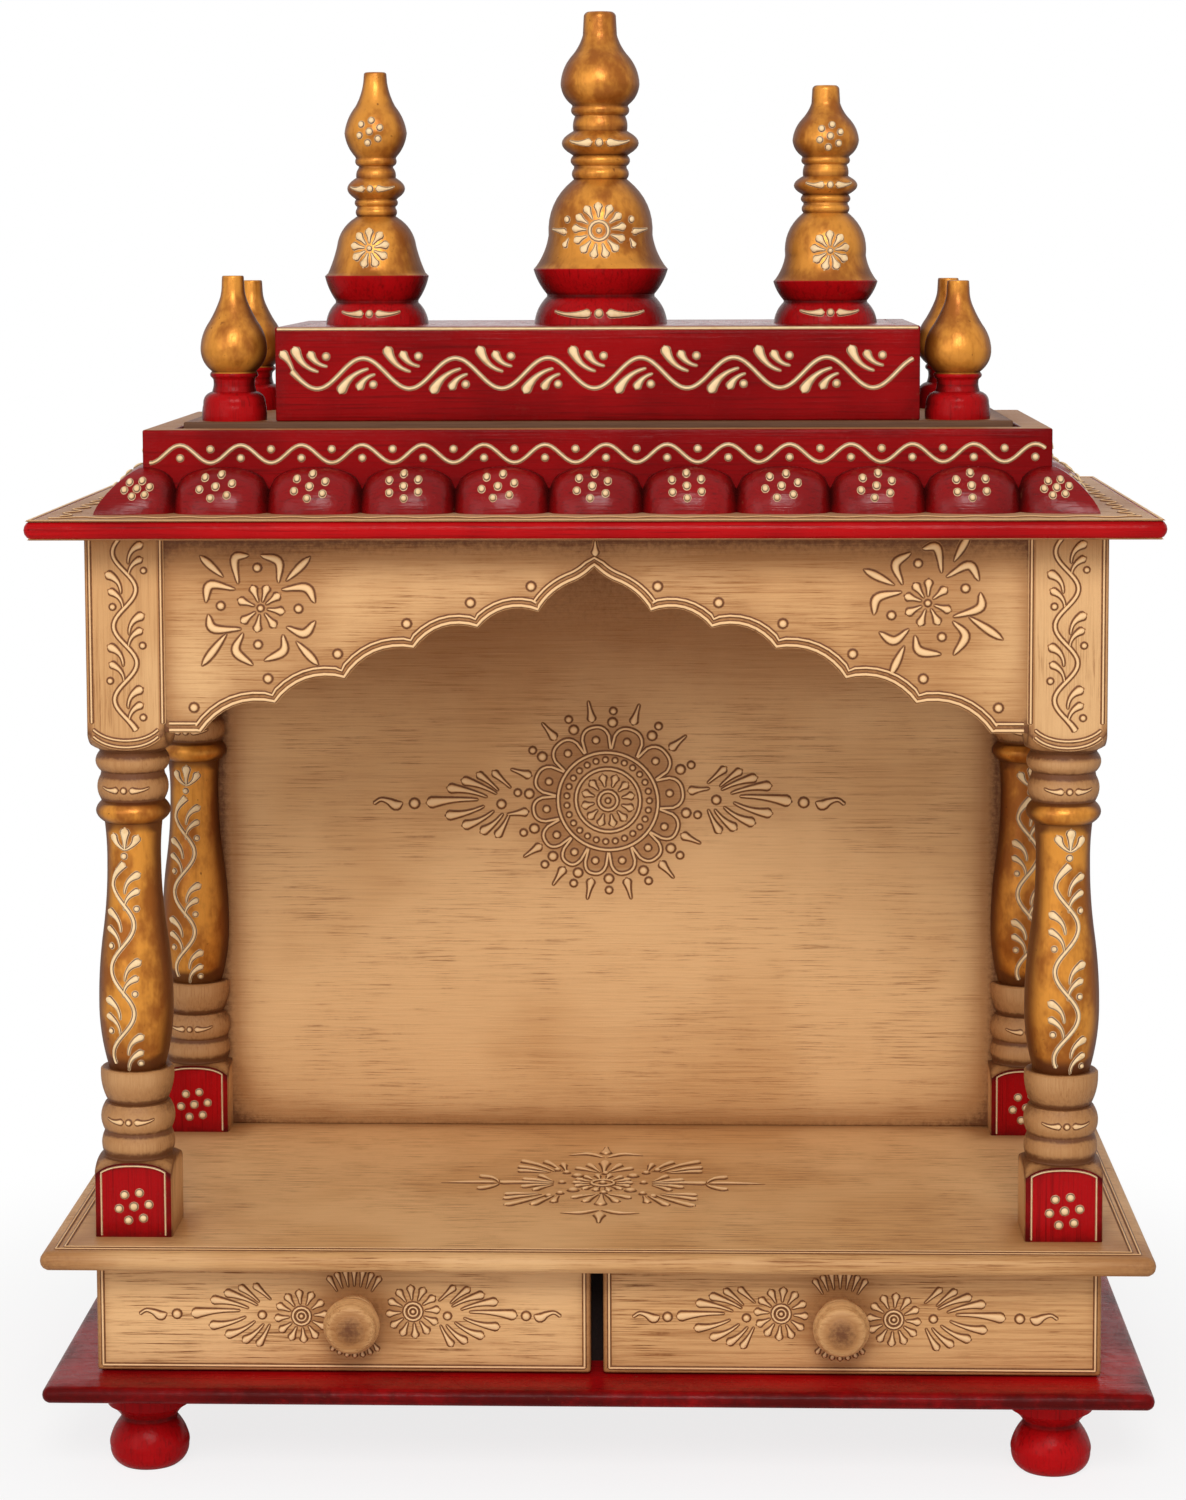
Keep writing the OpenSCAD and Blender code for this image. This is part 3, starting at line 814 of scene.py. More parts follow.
    def spindle(self, start: Sequence[float], end: Sequence[float], width: float,
                fullest: float = 0.6) -> None:
        """A straight stroke that swells and thins."""
        t = np.linspace(0, 1, 10)
        line = np.asarray(start, float) + t[:, None] * (np.asarray(end, float) - np.asarray(start, float))
        self.sweep(line, width * swelling(t, fullest, 0.2, 0.8, 0.7))

    def leaf(self, points: Sequence[Sequence[float]], width: float, fullest: float = 0.45) -> None:
        """A bent stroke through the points that is widest at its bend."""
        t = np.linspace(0, 1, 14)
        self.sweep(flowing(np.asarray(points, float), 14), width * swelling(t, fullest, 0.3, 1.5, 0.6))

    def petals(self, angles: Sequence[float], inner: float, outer: float, width: float) -> None:
        """Drops round a centre, tails inwards."""
        for a in np.radians(angles):
            way = np.array([math.cos(a), math.sin(a)])
            self.comma(way * inner, way * (outer - width), width)

    def dart_dot_dart(self, width: float = 1.2, reach: float = 11.0) -> None:
        """A dot between two drops whose tails run out sideways and lift a little."""
        self.bead(0, 0, width)
        for side in (-1, 1):
            self.comma((side * reach, 0.9), (side * 3.1 * width, 0), width, side * 0.12)

    def border(self, wide: float, tall: float, half: float, parts: int = 60) -> None:
        """Four straight lines round a rectangle of those half sizes."""
        corners = np.array([(-1, -1), (1, -1), (1, 1), (-1, 1), (-1, -1)]) * [wide, tall]
        t = np.linspace(0, 1, parts)[:, None]
        for a, b in zip(corners[:-1], corners[1:]):
            self.sweep(a + t * (b - a), np.full(parts, half))

    def bunches(self, groups: Sequence[tuple], back: float, drop: float) -> None:
        """Drops and a dot on each side of a vine in turn.

        Args:
            groups: (side, heads (u, v, width), dot (u, v, radius)).
            back: how far a tail runs back towards the vine.
            drop: how far it runs down.
        """
        for side, heads, dot in groups:
            for u, v, width in heads:
                self.comma((u - side * back, v - drop), (u, v), width, side * VINE_BEND)
            self.bead(*dot)


# ---------------------------------------------------------------- motifs


VINE_BEND = 0.32


def mandala(paint: Relief) -> None:
    """Rings, petals, a ring of dots, thirteen scallops with dots, and rays of spikes and dot pairs."""
    paint.bead(0, 0, 1.1)
    paint.ring(0, 0, 4.4, 0.62)
    paint.petals(np.arange(12) * 30 + 12, 6.9, 12.3, 1.7)
    paint.ring(0, 0.2, 14.9, 0.62, 0.012)
    for a in np.radians(np.arange(27) * 360 / 27):
        paint.bead(19.3 * math.cos(a), 19.3 * math.sin(a), 1.15)
    paint.ring(0, -0.3, 23.1, 0.66, 0.014)
    lobes = np.array([101, 72, 40, 7, -25, -50, -77, -102, -123, -146, -172, -198, -230], float)
    gaps = (lobes + np.roll(lobes, -1) - np.where(np.arange(13) == 12, 360, 0)) / 2
    edges = np.concatenate([gaps[-1:] + 360, gaps])
    for k, middle in enumerate(lobes):
        t = np.linspace(-1, 1, 15)
        reach = 24.6 + 10.4 * (1 - np.abs(t) ** 2.6) ** 0.5
        wide = np.interp(t, [-1, 0, 1], [edges[k] - 0.6, middle, edges[k + 1] + 0.6])
        a = np.radians(wide)
        paint.sweep(np.stack([reach * np.cos(a), reach * np.sin(a)], -1), np.full(15, 0.62))
        a = math.radians(middle)
        paint.bead(28.9 * math.cos(a), 28.9 * math.sin(a), 1.6)
        way = np.array([math.cos(a), math.sin(a)])
        paint.comma(way * 47.2, way * 39.4, 1.75)
        a = math.radians(gaps[k])
        paint.bead(36.8 * math.cos(a), 36.8 * math.sin(a), 2.0)
        paint.bead(42.2 * math.cos(a), 42.2 * math.sin(a), 1.5)


FAN_STROKES = (
    ((-11.3, 2.1), (-32.4, 0.8), 2.4, -0.05),
    ((-7.0, 3.4), (-23.2, 7.4), 2.0, -0.08),
    ((-2.5, 5.0), (-16.6, 10.8), 1.9, -0.08),
    ((-1.7, 6.6), (-9.9, 13.5), 1.6, -0.05),
    ((4.1, 7.9), (-2.8, 14.3), 1.5, 0.0),
    ((-8.4, -1.1), (-24.0, -5.3), 2.0, 0.10),
    ((-3.9, -3.4), (-16.3, -9.8), 2.0, 0.12),
    ((0.4, -4.8), (-8.1, -12.4), 1.9, 0.10),
    ((3.5, -5.0), (-1.5, -14.0), 1.7, 0.05),
)


def fan(paint: Relief, tip_dot: float = -40.6, tail: float = -47.8) -> None:
    """A spray of nine drops opening to the left, its root dot, a tip dot and a curled tail."""
    paint.bead(0, 0, 1.9)
    for stroke in FAN_STROKES:
        paint.comma(*stroke)
    paint.bead(tip_dot, 0.3, 2.2)
    curl = [(tail - 11.6, 0.3), (tail - 8.6, 2.1), (tail - 4.8, 1.2), (tail - 1.6, -0.6), (tail + 1.2, 0.4)]
    line = flowing(np.array(curl), 16)
    t = np.linspace(0, 1, 16)
    paint.sweep(line, 0.45 + 1.6 * np.sin(math.pi * t**2.6) ** 1.2)


def frieze_flower(paint: Relief) -> None:
    """Eight petals, four dots, eight bent leaves in pairs and four straight strokes."""
    paint.bead(0, 0, 1.25)
    paint.petals((110, 73, 36, -8, -52, -100, -144, 159), 3.0, 9.8, 1.6)
    for u, v in ((-1.2, 16.7), (-1.2, -15.0), (15.6, -0.2), (-16.4, 1.0)):
        paint.bead(u, v, 1.6)
    leaves = (
        ((-4.9, 21.8), (-10.4, 20.4), (-9.2, 10.4)), ((0.5, 21.7), (7.6, 19.2), (7.5, 10.8)),
        ((-22.5, 2.7), (-20.6, 9.6), (-10.8, 7.9)), ((-21.6, -2.9), (-19.4, -8.4), (-8.5, -8.6)),
        ((22.2, 2.5), (18.8, 8.4), (9.1, 7.7)), ((22.2, -5.6), (17.8, -10.4), (10.9, -7.9)),
        ((-3.8, -23.3), (-10.4, -17.6), (-7.6, -10.6)), ((1.6, -21.5), (9.2, -17.6), (9.1, -11.3)),
    )
    for points in leaves:
        paint.leaf(points, 1.65)
    for inner, outer in (((-15.5, 13.1), (-24.6, 21.5)), ((10.9, 11.5), (20.4, 21.0)),
                         ((-14.4, -10.8), (-24.3, -23.5)), ((14.7, -14.0), (23.3, -23.3))):
        paint.spindle(inner, outer, 1.45)


def daisy(paint: Relief) -> None:
    """A dot in two rings with twelve petals."""
    paint.bead(0, 0, 0.9)
    paint.ring(0, 0, 1.9, 0.4)
    paint.ring(0, 0, 3.6, 0.5)
    paint.petals(np.arange(12) * 30 + 5, 5.2, 11.2, 1.5)


def shelf_star(paint: Relief) -> None:
    """The long star on the shelf: a daisy, four beaded sprays, two side sprays and two buds."""
    paint.bead(0, 0, 1.6)
    paint.ring(0, 0, 5.0, 0.6)
    paint.petals(np.arange(14) * 360 / 14, 6.4, 13.4, 1.5)
    corner = (((22, 19), (36, 35), 2.0, 0.1), ((24, 18), (37, 25.5), 1.8, 0.05), ((25, 17), (37, 19), 1.6, 0),
              ((19, 20), (26, 34), 1.8, 0.05), ((17, 20), (18.5, 30), 1.6, 0.0))
    side = ((0, 43.5, 2.0), (5.0, 34, 1.8), (-6.5, 34, 1.8), (10.5, 27.5, 1.6), (-11, 29, 1.6))
    ends = ((0, 33, 2.6), (6.5, 29, 1.8), (-6.5, 29, 1.8), (11.5, 23.5, 1.6), (-11.5, 23.5, 1.6))
    for hand, lift, wide in ((1, 1, 1.14), (-1, 1, 1.0), (1, -1, 1.08), (-1, -1, 1.1)):
        for reach, size in ((11.5, 2.5), (16.5, 1.6), (20.8, 1.6)):
            paint.bead(hand * reach * wide, lift * reach * 1.02, size)
        for tail, head, width, bend in corner:
            flip = np.array([hand * wide, lift])
            paint.comma(np.array(tail) * flip, np.array(head) * flip, width, bend * hand * lift)
    for hand in (-1, 1):
        paint.bead(hand * 18.0, 0.5, 1.5)
        for lift, reach, width in side:
            paint.comma((hand * 22, lift * 0.3), (hand * reach, lift), width, 0)
        for lift in (-1, 1):
            paint.comma((hand * 46, lift * 1.5), (hand * 53, lift * 9.5), 2.0, lift * hand * 0.3)
        paint.spindle((hand * 46, 0), (hand * 71, 0), 0.9, 0.25)
    for lift in (-1, 1):
        paint.bead(0.8, lift * 15.8, 1.5)
        for across, reach, width in ends:
            paint.comma((across * 0.25, lift * 18), (across, lift * reach), width, 0)
        for hand in (-1, 1):
            paint.leaf(((hand * 0.8, lift * 43), (hand * 8, lift * 48), (hand * 16.5, lift * 47)), 1.0, 0.4)
        paint.comma((0, lift * 62), (0, lift * 51), 2.6, 0)


def post_vine(paint: Relief) -> None:
    """The vine on a pillar's upper block, heights above the shelf: u = 4.7 cos on a 30.5 mm period."""
    v = np.linspace(292.5, 213.6, 64)
    u = -4.7 * np.cos(2 * math.pi * (287.1 - v) / 30.5)
    paint.sweep(np.stack([u, v], -1), np.interp(v, [213.6, 219, 292.5], [1.1, 0.72, 0.66]))
    groups = (
        (1, ((6.3, 290.0, 1.6), (6.3, 284.0, 1.3)), (8.0, 279.6, 1.1)),
        (1, ((6.3, 260.7, 1.7), (5.9, 254.6, 1.4)), (7.2, 248.6, 1.2)),
        (1, ((5.4, 230.2, 1.7), (5.6, 223.8, 1.4)), (7.0, 218.8, 1.2)),
        (-1, ((-6.1, 277.7, 1.7), (-5.3, 270.8, 1.4)), (-5.0, 264.6, 1.2)),
        (-1, ((-5.6, 247.7, 1.7), (-5.3, 240.6, 1.4)), (-6.4, 234.0, 1.2)),
    )
    paint.bunches(groups, 4.6, 7.4)


def shaft_vine(paint: Relief) -> None:
    """The vine on a gilded shaft under a three-leaved crown: u = 5 cos on a 36.6 mm period."""
    for head, width, bend in (((1.5, 170.0), 1.9, 0.0), ((-3.6, 167.8), 1.6, 0.2), ((6.3, 167.3), 1.6, -0.2)):
        paint.comma((1.3, 162.6), head, width, bend)
    paint.bead(1.0, 160.0, 1.2)
    v = np.linspace(156.8, 72.6, 64)
    u = -5.0 * np.cos(2 * math.pi * (149.5 - v) / 36.6)
    u[:8] += np.linspace(2.6, 0, 8)
    paint.sweep(np.stack([u, v], -1), np.interp(v, [72.6, 80, 150, 156.8], [0.5, 0.62, 0.62, 1.5]))
    groups = (
        (1, ((6.2, 152.0, 1.5), (6.0, 145.2, 1.3)), (6.0, 138.0, 1.1)),
        (-1, ((-5.9, 136.2, 1.6), (-6.3, 129.3, 1.3)), (-5.2, 122.4, 1.1)),
        (1, ((6.4, 115.9, 1.6), (5.6, 109.2, 1.3)), (5.4, 102.8, 1.1)),
        (-1, ((-6.3, 99.7, 1.6), (-6.4, 93.0, 1.3)), (-5.6, 86.8, 1.1)),
        (1, ((7.2, 84.4, 1.5), (7.0, 77.6, 1.3)), (7.0, 73.0, 1.0)),
    )
    paint.bunches(groups, 5.2, 7.6)


def seven_dots(paint: Relief, radius: float = 6.3, dot: float = 1.5, lift: float = 1.0,
               turn: float = 8.0) -> None:
    """A dot with six round it."""
    paint.bead(0, 0, dot * 1.08)
    for a in np.radians(np.arange(6) * 60 + turn):
        paint.bead(radius * math.cos(a), lift * radius * math.sin(a), dot)


def bell_flower(paint: Relief, petals: int, ring: float, sides: bool) -> None:
    """The flower on a finial's bell, with a dart between two dots at each side if asked."""
    paint.bead(0, 0, 1.0)
    if ring:
        paint.ring(0, 0, ring, 0.55)
    inner = ring + 1.7 if ring else 2.3
    paint.petals(np.arange(petals) * 360 / petals + 92, inner, inner + 6.2, 1.7)
    for hand in (-1, 1) if sides else ():
        paint.bead(hand * 14.8, 4.8, 1.3)
        paint.comma((hand * 25.5, 0.8), (hand * 16.6, -0.4), 1.4, 0)
        paint.comma((hand * 14.2, -3.4), (hand * 15.8, -6.0), 1.25, 0)


# ---------------------------------------------------------------- sub-assemblies


PLACES = ("front_left", "front_right", "rear_left", "rear_right")


def dress(nodes: Sequence[str], paint: bpy.types.Material) -> None:
    """Gives frame nodes whose shape is already right their finish."""
    for node in nodes:
        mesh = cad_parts[node].data
        mesh.materials.clear()
        mesh.materials.append(paint)
        log.info("%s: frame node dressed in %s", node, paint.name)


def fitted(nodes: Nodes, low: Array, high: Array) -> Array:
    """A turned profile scaled to a frame node's width and height."""
    profile = bowed(nodes)
    return profile * [(high[0] - low[0]) / 2 / profile[:, 0].max(), (high[2] - low[2]) / profile[-1, 1]]


def foot_of(low: Array, high: Array) -> Array:
    """The middle of a node's underside."""
    return np.array([(low[0] + high[0]) / 2, (low[1] + high[1]) / 2, low[2]])


@dataclass
class Base:
    """Turned feet, the base board and the case that the drawers run in."""

    paints: Paints
    foot: Nodes = (
        (12.6, 0, 1.2), (16.6, 7.5, 0.2), (16.6, 10.5, 0.6), (11.9, 19.4, 0), (11.9, 20.8, -0.5),
        (17.4, 26, 0), (17.4, 36, 0),
    )

    def build(self) -> None:
        """Builds the feet, the board and the case."""
        for place in PLACES:
            node = f"foot_{place}"
            low, high = span(node)
            skin = Skin(f"turned_{node}", [self.paints.red_z])
            Lathe(fitted(self.foot, low, high), foot_of(low, high)).lay_on(skin)
            skin.piece("cabinet", [node])
        low, high = span("base_board")
        skin = Skin("base_board_painted", [self.paints.red_x])
        Board(low, high, edge=half_round(high[2] - low[2]), edge_wash=0.45, stain_and_shade=self.scuffs).lay_on(skin)
        skin.piece("cabinet", ["base_board"])
        walls = (("case_side_left", Lie.FACING_LEFT, self.paints.cream_y),
                 ("case_side_right", Lie.FACING_RIGHT, self.paints.cream_y),
                 ("case_back", Lie.FACING_REAR, self.paints.cream_x))
        for node, lie, cream in walls:
            skin = Skin(f"{node}_painted", [cream])
            Board(*span(node), lie=lie, edge_wash=0.6, reach=6.0).lay_on(skin)
            skin.piece("cabinet", [node])
        # The divider is dressed near-black as painted shadow in the gap between the drawers.
        dress(["case_divider"], self.paints.shaded)

    @staticmethod
    def scuffs(x: Array, y: Array) -> Array:
        """Dark scuffs along the board's margin, in uneven runs."""
        return 0.18 * (1 + np.sin(x / 17.0) * np.sin(y / 9.0 + 1.0))


@dataclass
class Drawer:
    """One drawer: a painted front with its piped border, flowers and knob, and a plain wooden box."""

    paints: Paints
    side: str
    knob: Nodes = (
        (9, 0, 0), (9, 2, -0.6), (6, 4.5, 0), (6, 7, 0), (9.4, 8.2, 1.7), (10.6, 16.5, 1.1),
        (6.6, 19.9, 0), (5.4, 20.5, 0),
    )

    def build(self) -> None:
        """Builds the front and the knob, and finishes the box."""
        body, hand = f"drawer_{self.side}", 1.0 if self.side == "left" else -1.0
        node = f"{body}_front"
        low, high = span(node)
        knob_low, knob_high = span(f"{body}_knob")
        knob_at = np.array([(knob_low[0] + knob_high[0]) / 2, low[1], (knob_low[2] + knob_high[2]) / 2])
        centre = (low + high) / 2

        def stain_and_shade(x: Array, z: Array) -> Array:
            """Glaze round the knob and the flowers, fading as exp(-(d / reach)^2)."""
            aside, above = x - knob_at[0], z - knob_at[2]
            away = np.hypot(aside, above * 1.2)
            band = np.exp(-((above / 13.0) ** 2)) * np.clip(1.1 - np.abs(aside) / 80, 0, 1)
            return 0.70 * np.exp(-((away / 16.0) ** 2)) + 0.12 * band

        skin = Skin(f"{node}_painted", [self.paints.cream_x])
        Board(low, high, Lie.FACING_FRONT, eased(high[1] - low[1], 1.3), 2.4, stain_and_shade, 0.55, 3.0).lay_on(skin)
        paint = Relief(skin, FlatGround((centre[0], low[1], centre[2])), 0, 0.8)
        wide, tall = (high[0] - low[0]) / 2 - 2.5, (high[2] - low[2]) / 2 - 2.4
        paint.border(wide, tall, 0.5, 40)
        middle = paint.at(knob_at[0] - centre[0], knob_at[2] - centre[2], hand=hand)
        fan(middle.at(-38.6, 0.4, scale=0.85), -42.0, -48.6)
        fan(middle.at(38.8, 0.4, scale=0.83, hand=-1), -39.5, -45.0)
        daisy(middle.at(-22.2, 0.0))
        daisy(middle.at(24.4, 2.2))
        for a in np.radians(np.linspace(56, 124, 7)):
            way = np.array([math.cos(a), math.sin(a)])
            middle.comma(way * 13.0, way * 18.4 + [0, 0.8], 1.1)
            middle.comma(way * [13.0, -13.0], way * [16.6, -16.6], 0.95)
        skin.piece(body, [node])

        turned = bowed(self.knob)
        radius, length = (knob_high[0] - knob_low[0]) / 2, low[1] - knob_low[1]
        turned = turned * [radius / turned[:, 0].max(), length / turned[-1, 1]]
        skin = Skin(f"{body}_knob_turned", [self.paints.cream_x])
        Lathe(turned, knob_at, Lie.FACING_FRONT, 64, 0.9, tip=0.9).lay_on(skin)
        skin.piece(body, [f"{body}_knob"])
        dress([f"{body}_sides"], self.paints.wood_y)
        dress([f"{body}_back", f"{body}_bottom"], self.paints.wood_x)


@dataclass
class Shelf:
    """The shelf board with its nosed edge, double border and piped star."""

    paints: Paints

    def build(self) -> None:
        """Builds the shelf board."""
        low, high = span("shelf_board")
        posts = [foot_of(*span(f"pillar_{place}")) for place in PLACES]

        def stain_and_shade(x: Array, y: Array) -> Array:
            """Glaze round the pillar feet, in the corners and along the back."""
            feet = sum(np.exp(-((np.maximum(np.abs(x - p[0]), np.abs(y - p[1])) / 24.0) ** 4)) for p in posts)
            rear = np.exp(-np.abs(high[1] - 38.0 - y) / 9.0)
            corner = np.exp(-((np.hypot(np.abs(x) - high[0], np.abs(y) - high[1])) / 26.0) ** 2)
            star = np.exp(-((np.hypot(x / 62.0, (y + 16) / 48.0)) ** 4))
            return 0.32 * feet + 0.40 * rear + 0.35 * corner + 0.10 * star + 0.05

        skin = Skin("shelf_board_painted", [self.paints.cream_x])
        edge = half_round(high[2] - low[2])
        Board(low, high, edge=edge, step=5.0, stain_and_shade=stain_and_shade, edge_wash=0.12, reach=4.0).lay_on(skin)
        paint = Relief(skin, FlatGround((0, 0, high[2]), Lie.FLAT), 0, halo=0.8, rise=0.8)
        for inset in (6.2, 9.4):
            paint.border(high[0] - inset, high[1] - inset, 0.42)
        shelf_star(replace(paint, rise=1.0).at(0, -16.0))
        skin.piece("cabinet", ["shelf_board"])


@dataclass
class Pillar:
    """A square post turned in its middle: each point lies at the lesser of the square and the turning."""

    paints: Paints
    place: str
    turning: Nodes = (
        (24, 0, 0), (24, 25.5, 0), (22.9, 26, 1.4), (14.3, 31.8, 0), (14.2, 32.3, 1.1), (14.2, 41.7, 0),
        (14, 42.6, 1.7), (13.6, 54.3, 0), (12.3, 54.8, 0), (12.8, 55.6, 0.9), (15.3, 68.6, 0),
        (14.6, 69.3, 0), (11.8, 69.4, 1.1), (15.5, 98, 0.5), (13.3, 127, -0.5), (11.2, 156, -0.3),
        (12, 173.4, 0), (12.7, 173.8, 2.6), (13.1, 182.2, 0), (13.4, 183, 1.4), (13.4, 193, 0),
        (13.1, 194.6, 2.1), (13.5, 203.2, 0), (14.3, 204.2, 1.4), (22.9, 213.5, 0), (24, 214, 0),
        (24, 294, 0),
    )
    cone: tuple[float, float] = (25.5, 31.8)
    crown: tuple[float, float] = (204.2, 214.0)
    gilded: tuple[float, float] = (69.35, 182.8)
    sharpness: float = 30.0

    def build(self) -> None:
        """Builds the post, its painted regions and its piped work."""
        node = f"pillar_{self.place}"
        low, high = span(node)
        half, tall = (high[0] - low[0]) / 2, high[2] - low[2]
        foot = foot_of(low, high)
        p = bowed(self.turning)
        near = np.array([39.5, 41.3, 42.7, 43.9])
        quarter = np.concatenate([[-45], -near[::-1], np.linspace(-36, 36, 17), near])
        degrees = np.concatenate([quarter + turn for turn in (-90, 0, 90, 180)] + [[225.0]])
        a = np.radians(degrees)
        sharp = self.sharpness
        square = half / (np.abs(np.cos(a)) ** sharp + np.abs(np.sin(a)) ** sharp) ** (1 / sharp)
        lower = p[(p[:, 1] >= self.cone[0]) & (p[:, 1] <= self.cone[1])][::-1]
        upper = p[(p[:, 1] >= self.crown[0]) & (p[:, 1] <= self.crown[1])]
        low_crease, high_crease = np.interp(square, *lower.T), np.interp(square, *upper.T)
        middle = p[(p[:, 1] > self.cone[1]) & (p[:, 1] < self.crown[0])]
        t = np.linspace(0, 1, 12)[None]
        heights = [
            low_crease[:, None] * t,
            low_crease[:, None] + (self.cone[1] - low_crease[:, None]) * t[:, 1:],
            np.broadcast_to(middle[:, 1], (len(a), len(middle))),
            self.crown[0] + (high_crease[:, None] - self.crown[0]) * t,
            high_crease[:, None] + (tall - high_crease[:, None]) * np.linspace(0, 1, 26)[None, 1:],
        ]
        kinds = np.concatenate([np.full(h.shape[1], k) for k, h in enumerate(heights)])
        z = np.concatenate(heights, 1)
        r = np.where(np.isin(kinds, (0, 4)), square[:, None], np.interp(z, p[:, 1], p[:, 0]))
        z = np.concatenate([z[:, :1], z, z[:, -1:]], 1)
        r = np.concatenate([np.zeros((len(a), 1)), r, np.zeros((len(a), 1))], 1)
        grid = np.stack([r * np.cos(a)[:, None], r * np.sin(a)[:, None], z], -1) + foot
        cut = np.stack([np.minimum(p[:, 0], half), p[:, 1]], -1)
        glaze_and_shade = np.interp(z, p[:, 1], hollows(cut, 4.0, 3.0))
        corner = np.abs((degrees + 45) % 90 - 45)[:, None] > 40.5
        block = (z < low_crease[:, None]) | (z > high_crease[:, None])
        crease = np.exp(-np.abs(z - np.where(z < tall / 2, low_crease[:, None], high_crease[:, None])) / 1.8)
        ends = np.exp(-z / 5.0) + np.exp(-(tall - z) / 6.0)
        gilt = (z > self.gilded[0]) & (z < self.gilded[1])
        # Painted shade: darker towards the sides that face left and right, most on the gold shaft.
        flank_shade = np.clip((np.abs(np.cos(a)) - 0.5) / 0.5, 0, 1)[:, None] ** 1.6
        glaze_and_shade = glaze_and_shade * 1.7 + np.where(gilt, 0.75 * flank_shade, 0.30 + 0.25 * flank_shade)
        glaze_and_shade = glaze_and_shade * ~block + 0.45 * crease + 0.35 * ends * block + (0.3 * corner + 0.14) * block
        mid_z = (z[:-1, 1:] + z[:-1, :-1]) / 2
        coats = np.where((mid_z > self.gilded[0]) & (mid_z < self.gilded[1]), 2, 0)
        facing = np.abs((degrees[:-1] + degrees[1:]) / 2 + 90) < 44.5
        coats[facing[:, None] & (mid_z < low_crease[:-1, None]) & (np.arange(z.shape[1] - 1) <= 11)] = 1
        finishes = [self.paints.cream_z, self.paints.red_z, self.paints.gold, self.paints.piped]
        skin = Skin(f"{node}_turned", finishes)
        skin.lay(grid, np.clip(glaze_and_shade, 0, 1), 0.0, coats)
        self.pipe_lines(skin, foot, half, cut, degrees, low_crease, high_crease)
        skin.piece("cabinet", [node])

    def pipe_lines(self, skin: Skin, foot: Array, half: float, cut: Array, degrees: Array, low_crease: Array,
                   high_crease: Array) -> None:
        """Pipes the vines, dots and outlines.

        Args:
            skin: the post's skin.
            foot: middle of its underside.
            half: half the width of its square.
            cut: the turned profile, no wider than the square.
            degrees: angle of each column.
            low_crease: height of the lower block's arched edge at each column.
            high_crease: height of the upper block's arched edge at each column.
        """
        face = FlatGround((foot[0], foot[1] - half, foot[2]))
        shaft = TurnedGround(cut, foot)
        front = np.abs(degrees + 90) < 41
        across = half * np.tan(np.radians(degrees[front] + 90))
        arch = np.stack([across, low_crease[front] - 1.3], -1)
        rise = np.stack([np.full(6, arch[0, 0]), np.linspace(0.8, arch[0, 1] - 1.0, 6)], -1)
        outline = np.vstack([rise, arch, rise[::-1] * [-1, 1]])
        Relief(skin, face, 3, 0.25, 0.3).sweep(outline, np.full(len(outline), 0.22))
        seven_dots(Relief(skin, face, 3, 0.55, 1.0).at(0.3, 13.0))
        on_gold = Relief(skin, shaft, 3, 0.6, 0.9)
        on_cream = Relief(skin, shaft, 0, 0.9, 0.9)
        left = self.place.endswith("left")
        shaft_vine(on_gold.at(-3.4 if left else 0.6, 0))
        for height in (48.4, 188.0):
            on_cream.at(-1.5 if left else 1.0, height).dart_dot_dart(1.15, 10.5)
        if self.place.startswith("front"):
            on_face = Relief(skin, face, 0, 0.9, 0.95)
            post_vine(on_face.at(0.4 if left else -1.0, 0))
            outer = -1 if left else 1
            for lift in (1.2, 4.0):
                low_edge = np.stack([across, high_crease[front] + lift], -1)
                on_face.sweep(low_edge, np.full(len(low_edge), 0.42))
            for at in (outer * (half - 2.2), -outer * (half - 0.9)):
                line = np.linspace(216.5, 293.0, 40)
                on_face.sweep(np.stack([np.full(40, at), line], -1), np.full(40, 0.45))


